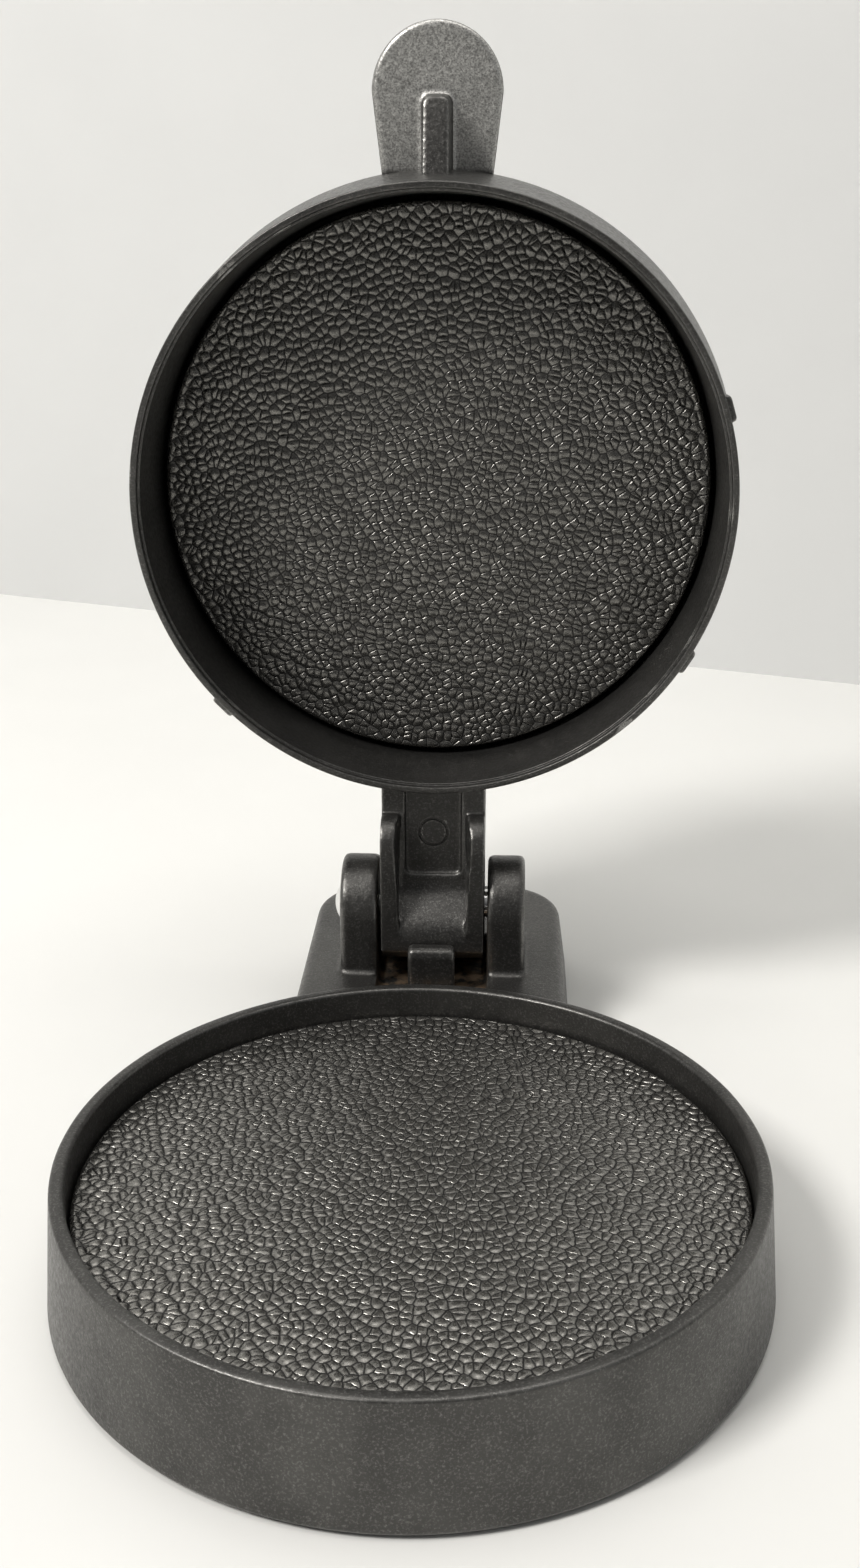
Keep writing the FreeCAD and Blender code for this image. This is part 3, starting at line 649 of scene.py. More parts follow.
# ---------------------------------------------------------------- finishes
@dataclass(frozen=True)
class Ground:
    """Where a finish measures its patterns from."""

    layout: Layout
    opened: bool = False

    def place(self, tree: Tree) -> Socket:
        """Position with the dish axis at the origin and the lid's pieces laid back down.

        Args:
            tree: the material's nodes.

        Returns:
            The position in metres.
        """
        coords = own_place(tree)
        turn = self.layout.swing if self.opened else 0.0
        hinge = self.layout.hinge
        shift = hinge - Matrix.Rotation(turn, 3, "X") @ hinge - Vector((0.0, self.layout.dish_y, 0.0))
        made = node(tree, "ShaderNodeMapping", Vector=coords, Rotation=(turn, 0.0, 0.0), Location=shift)
        return made.outputs[0]


def new_material(name: str) -> tuple[Material, Tree, Node]:
    """Start a material.

    Args:
        name: its name.

    Returns:
        The material, its nodes and its main shader.
    """
    material = bpy.data.materials.new(name)
    material.use_nodes = True
    tree = material.node_tree
    return material, tree, tree.nodes["Principled BSDF"]


def own_place(tree: Tree) -> Socket:
    """Position on the piece itself, in metres."""
    return tree.nodes.new("ShaderNodeTexCoord").outputs["Object"]


def finish_shader(tree: Tree, shader: Node, colour: Socket, roughness: object, metal: float = 0.0,
                  reflection: float = 0.5) -> None:
    """Set the main shader.

    Args:
        tree: the material's nodes.
        shader: the main shader.
        colour: base colour.
        roughness: number or socket.
        metal: how metallic it is.
        reflection: specular level.
    """
    for name, value in (("Base Color", colour), ("Roughness", roughness), ("Metallic", metal),
                        ("Specular IOR Level", reflection)):
        wire(tree, shader.inputs[name], value)


def emboss(tree: Tree, shader: Node, height: Socket, depth: float, strength: float = 1.0) -> None:
    """Give a shader fine relief of a depth in mm."""
    bump = node(tree, "ShaderNodeBump", Strength=strength, Distance=depth * MM, Height=height)
    wire(tree, shader.inputs["Normal"], bump.outputs[0])


def dress(piece: Piece, material: Material) -> Piece:
    """Give a piece one material all over."""
    piece.data.materials.clear()
    piece.data.materials.append(material)
    return piece


@dataclass(frozen=True)
class CastCoating:
    """Charcoal non-stick coating on cast aluminium: satin, with the cast grain showing through, painted glints on
    the grain and painted highlights on worn edges.
    """

    name: str
    ground: Ground
    dark: Point3 = (0.062, 0.0605, 0.058)
    light: Point3 = (0.086, 0.084, 0.080)
    # Colour of worn edges and of painted glints on the grain.
    wear_and_glint: Point3 = (0.46, 0.455, 0.435)
    tan_patch: Point3 = (0.42, 0.30, 0.20)
    # Painted light: the colour that the handle's front face is lightened towards.
    handle_light_tint: Point3 = (0.66, 0.655, 0.63)
    cloud: float = 14.0
    grain: float = 0.42
    depth: float = 0.07
    tan_patched: bool = False
    handle_lit: bool = False
    handle_face: tuple[float, ...] = (49.2, 49.5, 50.2, 50.7)
    handle_root: Point2 = (-62.0, -63.5)
    gap_half: Point2 = (12.2, 10.8)
    gap_run: tuple[float, ...] = (68.5, 70.3, 90.0, 94.0)
    wall_radius: float = 60.0

    def paint_handle_light(self, tree: Tree, place: Socket, colour: Socket) -> Socket:
        """Lighten the handle's front face in a grainy speckle: painted light where the lamp falls on it."""
        _, y, z = split(tree, place)
        root, out = (edge * MM for edge in self.handle_root)
        bright = ramp(tree, noise(tree, place, 0.34, 3.0, 0.75), 0.38, 0.62, 0.35, 1.0)
        painted_light_mask = times(tree, window(tree, z, self.handle_face), ramp(tree, y, root, out), bright, 0.95)
        return blend_colour(tree, painted_light_mask, colour, self.handle_light_tint)

    def tan_patch_over(self, tree: Tree, place: Socket, colour: Socket) -> Socket:
        """Tint tan patches into the gap between the hinge ears."""
        x, y, _ = split(tree, place)
        outer, inner = (edge * MM for edge in self.gap_half)
        beside = ramp(tree, maths(tree, "ABSOLUTE", x), outer, inner)
        spots = ramp(tree, noise(tree, place, 2.6, 4.0), 0.36, 0.62)
        patch_mask = times(tree, beside, window(tree, y, self.gap_run), spots)
        return blend_colour(tree, patch_mask, colour, self.tan_patch)

    def material(self) -> Material:
        """Build the coating's nodes and return the material."""
        material, tree, shader = new_material(self.name)
        place = self.ground.place(tree)
        shift = ramp(tree, noise(tree, place, self.cloud, 4.0), 0.35, 0.68)
        colour = blend_colour(tree, shift, self.dark, self.light)
        # Painted glints: light flecks in the colour stand in for light sparkling on the cast grain.
        painted_sparkle = ramp(tree, noise(tree, place, self.grain, 2.0, 0.7), 0.47, 0.80, 0.0, 0.26)
        colour = blend_colour(tree, painted_sparkle, colour, self.wear_and_glint)
        # Edge wear and painted highlight: sharp edges are lightened in patches, partly rubbed coating and partly
        # painted light along the edges.
        edge = tree.nodes.new("ShaderNodeNewGeometry").outputs["Pointiness"]
        patches = ramp(tree, noise(tree, place, 2.2, 4.0), 0.30, 0.5)
        rub_and_edge_glint = times(tree, ramp(tree, edge, 0.512, 0.57), patches)
        colour = blend_colour(tree, times(tree, rub_and_edge_glint, 0.5), colour, self.wear_and_glint)
        # Painted light on the handle's front face.
        if self.handle_lit:
            colour = self.paint_handle_light(tree, place, colour)
        if self.tan_patched:
            colour = self.tan_patch_over(tree, place, colour)
        x, y, z = split(tree, place)
        girth = times(tree, maths(tree, "ARCTAN2", y, x), self.wall_radius * MM)
        around = node(tree, "ShaderNodeCombineXYZ", X=girth, Y=times(tree, z, 0.12), Z=0.0).outputs[0]
        drawn = ramp(tree, noise(tree, around, 1.6, 3.0), 0.60, 0.80, 0.0, 0.35)
        colour = blend_colour(tree, drawn, colour, self.light)
        gloss = ramp(tree, noise(tree, place, 0.9, 4.0), 0.3, 0.7, 0.30, 0.46)
        gloss = maths(tree, "SUBTRACT", gloss, times(tree, rub_and_edge_glint, 0.10))
        finish_shader(tree, shader, colour, gloss, 0.8, 0.6)
        height = maths(tree, "ADD", times(tree, noise(tree, place, self.grain, 3.0, 0.65), 0.75),
                       times(tree, noise(tree, place, self.grain * 3.4, 2.0), 0.55))
        emboss(tree, shader, height, self.depth)
        return material


@dataclass(frozen=True)
class PebbleCoating:
    """The same coating over the pebbled skin of a plate, with painted shade in the grooves and a painted sheen on
    the crowns.
    """

    name: str
    ground: Ground
    pitch: float
    # Painted shade: the dark tint of the grooves between the pebbles.
    groove_shade: Point3 = (0.036, 0.035, 0.034)
    crown: Point3 = (0.150, 0.146, 0.137)
    # Colour of the worn rim and of the worn, partly painted sheen on the crowns.
    wear_and_glint: Point3 = (0.30, 0.29, 0.27)
    rim: Point2 = (56.35, 56.7)

    def material(self) -> Material:
        """Build the skin's nodes and return the material."""
        material, tree, shader = new_material(self.name)
        place = self.ground.place(tree)
        pebble = pebble_height(tree, place, self.pitch)
        # Painted shade: the grooves are tinted darker than the crowns.
        colour = blend_colour(tree, ramp(tree, pebble, 0.0, 0.5), self.groove_shade, self.crown)
        # Worn polish and painted sheen: the crowns are lightened in patches.
        patch = ramp(tree, noise(tree, place, 11.0, 4.0), 0.40, 0.66)
        polish_and_sheen = times(tree, ramp(tree, pebble, 0.62, 0.95), patch, 0.22)
        colour = blend_colour(tree, polish_and_sheen, colour, self.wear_and_glint)
        start, full = (edge * MM for edge in self.rim)
        rim = ramp(tree, vector_maths(tree, "LENGTH", flatten(tree, place)), start, full)
        nicks = ramp(tree, noise(tree, place, 1.3, 4.0), 0.35, 0.6, 0.25, 0.9)
        colour = blend_colour(tree, times(tree, rim, nicks), colour, self.wear_and_glint)
        gloss = ramp(tree, pebble, 0.0, 0.6, 0.42, 0.27)
        gloss = maths(tree, "ADD", gloss, ramp(tree, noise(tree, place, 0.5, 3.0), 0.3, 0.7, -0.05, 0.07))
        finish_shader(tree, shader, colour, gloss, 0.88, 0.6)
        fine = noise(tree, place, 0.22, 2.0)
        emboss(tree, shader, maths(tree, "ADD", times(tree, pebble, 0.6), times(tree, fine, 0.08)), 0.20)
        return material


@dataclass(frozen=True)
class Steel:
    """Bright or zinc-plated steel of pins, screw and ring."""

    name: str
    tint: Point3 = (0.62, 0.61, 0.59)
    shade: Point3 = (0.36, 0.355, 0.34)
    smooth: float = 0.16
    rough: float = 0.34
    scratch: float = 0.35

    def material(self) -> Material:
        """Build the steel's nodes and return the material."""
        material, tree, shader = new_material(self.name)
        place = own_place(tree)
        cloud = ramp(tree, noise(tree, place, 3.0, 4.0), 0.3, 0.7)
        stretched = node(tree, "ShaderNodeMapping", Vector=place, Scale=(0.2, 1.0, 1.0)).outputs[0]
        marks = noise(tree, stretched, self.scratch, 4.0, 0.7)
        finish_shader(tree, shader, blend_colour(tree, cloud, self.shade, self.tint),
                      ramp(tree, marks, 0.3, 0.7, self.smooth, self.rough), 1.0)
        emboss(tree, shader, marks, 0.006, 0.5)
        return material


@dataclass(frozen=True)
class Moulded:
    """Moulded rubber or plastic: dull, with a fine skin."""

    name: str
    dark: Point3 = (0.012, 0.012, 0.012)
    light: Point3 = (0.028, 0.028, 0.027)
    smooth: float = 0.42
    rough: float = 0.62
    skin: float = 0.3

    def material(self) -> Material:
        """Build the moulded skin's nodes and return the material."""
        material, tree, shader = new_material(self.name)
        place = own_place(tree)
        cloud = ramp(tree, noise(tree, place, 5.0, 3.0), 0.3, 0.7)
        skin = noise(tree, place, self.skin, 3.0, 0.6)
        finish_shader(tree, shader, blend_colour(tree, cloud, self.dark, self.light),
                      ramp(tree, skin, 0.3, 0.7, self.smooth, self.rough))
        emboss(tree, shader, skin, 0.02, 0.6)
        return material


@dataclass(frozen=True)
class PaperWhite:
    """Pale matt sheet of the studio."""

    name: str
    tint: Point3 = (0.80, 0.80, 0.78)

    def material(self) -> Material:
        """Build the sheet's nodes and return the material."""
        material, tree, shader = new_material(self.name)
        cloud = ramp(tree, noise(tree, own_place(tree), 90.0, 2.0), 0.3, 0.7)
        deeper = tuple(c * 0.975 for c in self.tint)
        finish_shader(tree, shader, blend_colour(tree, cloud, self.tint, deeper), 0.75, reflection=0.25)
        return material


# ---------------------------------------------------------------- base
@dataclass
class Fitting:
    """A piece of the press; its sizes are in mm from the dish axis and the table."""

    layout: Layout

    def at(self, x: float, y: float, z: float) -> Point3:
        """Point in metres from one in mm about the dish axis."""
        return (x * MM, self.layout.dish_y + y * MM, z * MM)

    @property
    def axis(self) -> Point2:
        """Dish axis (x, y) in metres."""
        return (0.0, self.layout.dish_y)

    @property
    def hinge(self) -> Point2:
        """Hinge pin's (y, z) in mm from the dish axis."""
        return ((self.layout.hinge.y - self.layout.dish_y) / MM, self.layout.hinge.z / MM)

    def post(self, name: str, radius: float, low: float, high: float, sides: int = PEG_SIDES,
             x: float = 0.0, y: float = 0.0) -> Piece:
        """Upright round bar between two heights, on the dish axis or at (x, y)."""
        return peg(name, radius, self.at(x, y, low), self.at(x, y, high), sides)

    def axle(self, name: str, radius: float, half: float, y: float, z: float, sides: int) -> Piece:
        """Round bar along X through (y, z), as long as twice a half."""
        return peg(name, radius, self.at(-half, y, z), self.at(half, y, z), sides)

    def brick(self, name: str, half: float, y: Point2, z: Point2) -> Piece:
        """Block between two places along Y and two heights, as wide as twice a half."""
        return bar(name, self.at(-half, y[0], z[0]), self.at(half, y[1], z[1]))

    def slab(self, name: str, half: float, side: Sequence[Point2]) -> Piece:
        """Solid with a side shape given as (y, z), as wide as twice a half."""
        return extruded(name, [self.at(-half, y, z) for y, z in side], (2 * half * MM, 0, 0))

    def spun(self, piece: Piece, degrees: float) -> Piece:
        """Turn a piece about the dish axis."""
        return move_by(piece, turn_about(Vector((*self.axis, 0)), math.radians(degrees), "Z"))


@dataclass
class BaseCasting(Fitting):
    """Dish, hinge block and ears in one casting."""

    well: float = 48.0
    inner: float = 57.5
    outer: float = 60.0
    flare: float = 1.9
    rim_z: float = 22.6
    floor_top: float = 13.0
    floor_under: float = 10.0
    foot_z: float = 0.8
    swell: float = 0.10
    block_half: float = 28.0
    block_front: float = 40.0
    block_rear: float = 125.0
    block_top: float = 16.0
    block_wall: float = 3.0
    block_corner: float = 14.0
    block_round: float = 2.0
    block_draft: float = 2.0
    block_room: float = 58.3
    ear_inner: float = 11.7
    ear_outer: float = 19.7
    ear_radius: float = 10.5
    ear_round: float = 1.1
    slot: Point2 = (70.8, 93.0)
    sill_z: float = 13.0
    sill_thick: float = 2.2
    mouth_rear: float = 77.2
    lever_slot: float = 5.35
    lever_front: float = 56.5
    lever_pin: Point2 = (68.0, 5.6)
    lever_bore: Point2 = (2.0, 9.4)
    lever_boss: Point2 = (60.0, 1.8)
    tip_half: float = 3.1
    tip_run: Point2 = (-5.0, 12.0)
    stem_radius: float = 7.05
    guide_radius: float = 11.0
    guide_low: float = 5.2
    pin_radius: float = 3.05
    ring_radius: float = 4.65
    ring_depth: float = 1.6
    foot_boss: float = 6.6
    foot_seat: Point2 = (5.0, 2.0)
    rib_half: float = 1.25
    rib_run: Point2 = (6.0, 58.2)
    rib_depth: float = 4.0
    ribs: tuple[float, ...] = (-90.0, -35.0, 35.0, 145.0, 215.0)
    feet: tuple[Point2, ...] = ((0.0, -47.0), (42.596, 19.863), (-42.596, 19.863), (-17.0, 113.0),
                                (17.0, 113.0))

    def dish(self) -> Piece:
        """Turn up the dish: outer wall, rounded rim, inner wall and floor."""
        foot = self.outer + self.flare
        outline = soften([(self.well, self.floor_under, 0.0), (self.inner, self.floor_under, 1.4),
                          (self.inner, self.foot_z, 0.3), (foot, self.foot_z, 0.9),
                          (self.outer, self.rim_z, 0.75), (self.inner, self.rim_z, 0.85),
                          (self.inner, self.floor_top, 1.0), (self.well, self.floor_top, 0.0)],
                         PROFILE_STEPS, PROFILE_STRIDE)
        return unevenness(turn_up("dish", outline, self.axis, TURNED_SIDES), self.swell)

    def block(self) -> Piece:
        """Hollow hinge block with big round rear corners and the through slot."""
        half, wall, top = self.block_half, self.block_wall, self.block_top
        start, end, corner, draft = self.block_front, self.block_rear, self.block_corner, self.block_draft
        outer = self.brick("block", half, (start, end), (self.foot_z, top))
        hollow = self.brick("hollow", half - wall, (start, end - wall), (self.foot_z - 2, top - wall))
        rear = self.layout.dish_y + (end - wall - 1) * MM
        for piece, rounding in ((outer, corner), (hollow, corner - wall)):
            bevel_edges(piece, rounding, 12, lambda middle, run: abs(run.z) > 0.9 and middle.y > rear)
        grow = (1 + draft / half, 1 + draft / (end - start), 1.0)
        for piece in (outer, hollow):
            pull_faces(piece, lambda middle, normal: normal.z < -0.9, grow, self.at(0, start, self.foot_z))
        level = (top - 0.01) * MM
        bevel_edges(outer, self.block_round, 5, lambda middle, run: middle.z > level)
        dish = self.post("dish_room", self.block_room, -5, 30, WIDE_SIDES)
        slot = self.brick("slot", self.ear_inner, self.slot, (-2, top + 2))
        combine(outer, [hollow, dish, slot], Join.CUT)
        y0, y1 = self.slot
        heights = (self.sill_z - self.sill_thick, self.sill_z)
        sill = self.brick("sill", self.ear_inner + 1, (y0 - 1, y1 + 1), heights)
        mouth = self.brick("mouth", self.lever_slot, (y0 - 2, self.mouth_rear), (0, top))
        return gather([outer, combine(sill, [mouth], Join.CUT)], "block")

    def ear(self, side: int) -> Piece:
        """One hinge ear, an arch with rounded edges; side is -1 or 1."""
        y, z = self.hinge
        r = self.ear_radius
        low = self.block_top - self.block_wall
        outline = [(y - r, low)] + arc((y - r, z), (y, z + r), (y + r, z), 40) + [(y + r, low)]
        x = self.ear_inner if side > 0 else -self.ear_outer
        run = ((self.ear_outer - self.ear_inner) * MM, 0, 0)
        ear = extruded("ear", [self.at(x, a, b) for a, b in outline], run)
        floor = (low + 0.5) * MM
        return bevel_edges(ear, self.ear_round, 4, lambda middle, run: abs(run.x) < 0.1 and middle.z > floor)

    def underside(self) -> list[Piece]:
        """Ribs, stem guide, foot bosses and lever bosses under the dish and the block."""
        under, wall_z = self.floor_under, self.block_top - self.block_wall
        made: list[Piece] = []
        start, end = self.rib_run
        for degrees in self.ribs:
            rib = bar("rib", self.at(start, -self.rib_half, under - self.rib_depth),
                      self.at(end, self.rib_half, under + 1))
            made.append(self.spun(rib, degrees))
        made.append(self.post("guide", self.guide_radius, self.guide_low, under + 1, BORE_SIDES))
        for x, y in self.feet:
            top = under if math.hypot(x, y) < self.inner else wall_z
            made.append(self.post("foot_boss", self.foot_boss, self.foot_z, top + 1, x=x, y=y))
        front, low = self.lever_boss
        rear, high = self.slot[0], self.block_top - 1
        for side in (-1, 1):
            x0, x1 = sorted((side * (self.lever_slot - 0.2), side * (self.lever_slot + 4)))
            made.append(bar("lever_boss", self.at(x0, front, low), self.at(x1, rear, high)))
        return made

    def machining(self) -> list[Piece]:
        """Every bore and channel to cut, as bodies of pegs and bars that stand clear of each other."""
        y, z = self.hinge
        out, top = self.ear_outer, self.floor_top
        seat, seat_z = self.foot_seat
        first = [
            self.axle("pin_bore", self.pin_radius, out + 2, y, z, BORE_SIDES),
            self.post("stem_bore", self.stem_radius, -3, top + 3, BORE_SIDES),
            self.brick("lever_channel", self.lever_slot, (self.lever_front, self.slot[0] + 1), (-2, top)),
        ]
        first += [self.post("foot_seat", seat, -2, seat_z, x=x, y=y) for x, y in self.feet]
        second = [
            self.axle("lever_bore", *self.lever_bore, *self.lever_pin, PIN_SIDES),
            self.brick("tip_channel", self.tip_half, self.tip_run, (-2, self.floor_under)),
            peg("ring_recess", self.ring_radius, self.at(out - self.ring_depth, y, z), self.at(out + 2, y, z),
                BORE_SIDES),
        ]
        return [gather(first, "bores"), gather(second, "channels")]

    def build(self, coating: Material) -> Piece:
        """Cast, machine and coat the base.

        Args:
            coating: the cast coating.

        Returns:
            The finished piece.
        """
        rough = gather([self.block(), self.ear(-1), self.ear(1), *self.underside()], "hinge_block")
        cast_over(rough, 0.6, 2)
        casting = combine(rough, [self.dish()], Join.ADD)
        combine(casting, self.machining(), Join.CUT)
        casting.name = "cast_base"
        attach(dress(shade(casting), coating), "base")
        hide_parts("base_casting")
        return casting


# ---------------------------------------------------------------- lid
@dataclass
class LidCasting(Fitting):
    """Lid, handle and hinge arm in one casting, made closed and then swung open."""

    well: float = 30.0
    rim_z: float = 22.8
    rim_radius: float = 60.2
    lip: float = 1.3
    ledge: float = 1.4
    step: float = 0.5
    flare: float = 3.2
    depth: float = 31.5
    back: float = 3.0
    swell: float = 0.08
    screw_boss: Point2 = (13.0, 7.5)
    screw_bore: float = 4.05
    hub_pocket: Point2 = (10.2, 48.0)
    pin_radius: float = 3.05
    knuckle_half: float = 11.0
    cheek: float = 2.8
    shoulder: float = 21.5
    shoulder_round: float = 6.0
    knuckle_down: float = 9.5
    knuckle_up: float = 9.5
    knuckle_rear: float = 10.0
    arm_root: float = 5.2
    arm_high: float = 27.0
    web: float = 2.5
    pocket_rear: float = 6.6
    pocket_half: float = 6.1
    pocket_depth: float = 1.0
    heel_low: float = 16.15
    heel_run: Point2 = (8.0, 13.0)
    mark: Point3 = (17.0, 3.3, 2.6)
    mark_depth: float = 0.55
    paddle_radius: float = 13.1
    paddle_reach: float = 17.2
    paddle_neck: float = 10.9
    paddle_thick: float = 4.5
    rib_width: float = 5.2
    rib_reach: float = 15.8
    rib_depth: Point2 = (7.0, 12.0)
    gates: tuple[float, ...] = (-18.0, 31.5, 136.0)
    gate_half: float = 2.6
    gate_run: Point2 = (1.2, 5.4)

    @property
    def back_z(self) -> float:
        """Height of the closed lid's back."""
        return self.rim_z + self.depth

    def shell(self) -> Piece:
        """Turn up the lid's wall and back, with the fine ledge inside the lip."""
        inner, ledge_z = self.rim_radius - self.lip, self.rim_z + self.ledge
        ceiling, pressed = self.back_z - self.back, inner - self.step
        outline = soften([(self.well, ceiling, 0.0), (pressed, ceiling, 2.0), (pressed, ledge_z, 0.25),
                          (inner, ledge_z, 0.2), (inner, self.rim_z, 0.3),
                          (self.rim_radius, self.rim_z, 0.35), (self.rim_radius + self.flare, self.back_z, 3.6), (self.well, self.back_z, 0.0)],
                         PROFILE_STEPS, PROFILE_STRIDE)
        return unevenness(turn_up("lid_shell", outline, self.axis, TURNED_SIDES), self.swell)

    def arm_blank(self) -> Piece:
        """Side shape of the hinge arm: rounded shoulder, root in the lid's wall and knuckle."""
        y, z = self.hinge
        bottom, top, rear = z - self.knuckle_down, z + self.knuckle_up, y + self.knuckle_rear
        front, web = y - self.shoulder, z - self.web
        root, high = self.rim_radius - self.arm_root, self.rim_z + self.arm_high
        s = self.shoulder_round
        bend = s * (1 - math.sqrt(0.5))
        outline = [(rear - 2.5, bottom), (front + s, bottom)]
        outline += arc((front + s, bottom), (front + bend, bottom + bend), (front, bottom + s), 10)[1:]
        outline += [(front, web), (root, web), (root, high)]
        outline += arc((self.rim_radius, high), (front + 2.5, top + 3.3), (y - 2.0, top), 24)
        outline += [(y + 3.0, top), (rear, z + 2.0), (rear, bottom + 2.5)]
        return self.slab("arm", self.knuckle_half, outline)

    def arm_channel(self) -> Piece:
        """Body that hollows the arm between its two cheeks."""
        y, z = self.hinge
        bottom, front, web = z - self.knuckle_down, y - self.shoulder, z - self.web
        foot = arc((y - self.pocket_rear, web), (y - 4.6, web - 0.4), (y - 2.9, z - 4.0), 8)
        foot += arc((y + 0.2, z - 7.1), (y + 2.7, z - 8.8), (y + 5.8, bottom - 0.02), 10)
        outline = [(front - 1, web)] + foot + [(y + 6.5, bottom - 1), (front - 1, bottom - 1)]
        channel = self.slab("channel", self.knuckle_half - self.cheek, outline)
        narrow = (0.86, 1.0, 1.0)
        return pull_faces(channel, lambda middle, normal: normal.z > 0.9, narrow, self.at(0, 0, web))

    def arm(self) -> Piece:
        """Hinge arm: two cheeks with rounded shoulders, the web between them and the knuckle."""
        y, z = self.hinge
        front, web = y - self.shoulder, z - self.web
        arm, channel = self.arm_blank(), self.arm_channel()
        room = self.post("lid_room", self.rim_radius - 0.7, 0, 60, WIDE_SIDES)
        combine(arm, [channel, room], Join.CUT)
        pocket = self.brick("pocket", self.pocket_half, (front - 6, y - self.pocket_rear - 1),
                            (web - 1, web + self.pocket_depth))
        bevel_edges(pocket, 1.5, 5, lambda middle, run: abs(run.z) > 0.9)
        start, end = self.heel_run
        heel = self.brick("heel", self.knuckle_half, (y + start, y + end), (self.heel_low, z - 3.2))
        bevel_edges(heel, 1.0, 3, lambda middle, run: abs(run.x) > 0.9)
        move_by(heel, turn_about(self.layout.hinge, self.layout.swing, "X"))
        combine(arm, [pocket], Join.CUT)
        return cast_over(gather([arm, heel], "arm"), 0.34, 7)

    def handle(self) -> Piece:
        """Paddle handle with the tapering rib under it."""
        low = self.back_z - self.paddle_thick
        root = 1.3 - self.rim_radius
        centre = -self.rim_radius - self.paddle_reach
        r, neck = self.paddle_radius, self.paddle_neck
        outline = [(neck, root), (-neck, root)] + arc((-r, centre), (0, centre - r), (r, centre), 64)
        paddle = extruded("handle", [self.at(a, b, low) for a, b in outline], (0, 0, self.paddle_thick * MM))
        shoulder = self.layout.dish_y + (root - 1) * MM
        bevel_edges(paddle, 1.0, 4, lambda middle, run: abs(run.z) < 0.5 and middle.y < shoulder)
        end = -self.rim_radius - self.rib_reach
        shallow, deep = self.rib_depth
        outline = [(root, low + 1), (end - 0.9, low + 1), (end, low - shallow), (root, low - deep)]
        rib = self.slab("rib", self.rib_width / 2, outline)
        pull_faces(rib, lambda middle, normal: normal.z > 0.9, (1.14, 1.0, 1.0), self.at(0, 0, low + 1))
        tip = self.layout.dish_y + (end + 0.1) * MM
        bevel_edges(rib, 1.5, 4, lambda middle, run: abs(run.x) < 0.3 and abs(run.z) > 0.5 and middle.y < tip)
        return cast_over(gather([paddle, rib], "handle"), 0.45, 3)

    def bosses(self) -> Piece:
        """Screw boss behind the lid and the low gate marks on its wall."""
        radius, height = self.screw_boss
        low, top = self.back_z - self.back + 0.5, self.back_z + height
        outline = soften([(4.0, low, 0), (radius, low, 0), (radius, top, 1.2), (4.0, top, 0)], PROFILE_STEPS)
        boss = turn_up("screw_boss", outline, self.axis, 128)
        gates: list[Piece] = []
        outer = self.rim_radius + self.flare * 4.5 / self.depth + 0.75
        face = (outer - 0.1) * MM
        start, end = self.gate_run
        for degrees in self.gates:
            gate = bar("gate", self.at(outer - 2.7, -self.gate_half, self.rim_z + start),
                       self.at(outer, self.gate_half, self.rim_z + end))
            bevel_edges(gate, 0.7, 3, lambda middle, run: middle.x > face)
            gates.append(self.spun(gate, degrees))
        return gather([boss, cast_over(gather(gates, "gates"), 0.3, 2)], "bosses")

    def machining(self) -> list[Piece]:
        """Hinge bore, screw bore, the pocket for the plate's hub and the ring of a knock-out pin."""
        y, z = self.hinge
        hub, hub_low = self.hub_pocket
        away, outer, inner = self.mark
        back = self.back_z
        floor = z - self.web + self.pocket_depth + self.mark_depth
        return [
            self.axle("pin_bore", self.pin_radius, self.knuckle_half + 3, y, z, BORE_SIDES),
            self.post("screw_bore", self.screw_bore, 40, back + self.screw_boss[1] + 2, BORE_SIDES),
            self.post("hub_pocket", hub, hub_low, back, BORE_SIDES),
            self.ring_tool(y - away, outer, inner, floor),
        ]

    def ring_tool(self, y: float, outer: float, inner: float, depth_z: float) -> Piece:
        """Tube that cuts the ring a knock-out pin leaves, up to a height in mm."""
        tube = self.post("ring", outer, depth_z - 2, depth_z, y=y)
        core = self.post("core", inner, depth_z - 3, depth_z + 1, y=y)
        return combine(tube, [core], Join.CUT)

    def build(self, coating: Material) -> Piece:
        """Cast, machine, coat and open the lid.

        Args:
            coating: the cast coating.

        Returns:
            The finished piece.
        """
        lid = combine(self.shell(), [self.arm(), self.handle(), self.bosses()], Join.ADD)
        combine(lid, self.machining(), Join.CUT)
        move_by(lid, self.layout.opening())
        lid.name = "cast_lid"
        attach(dress(shade(lid), coating), "lid")
        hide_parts("lid_casting")
        return lid


# ---------------------------------------------------------------- plates
class Facing(Enum):
    """Which way a plate's pebbled face looks when the lid is closed."""

    UP = 1
    DOWN = -1


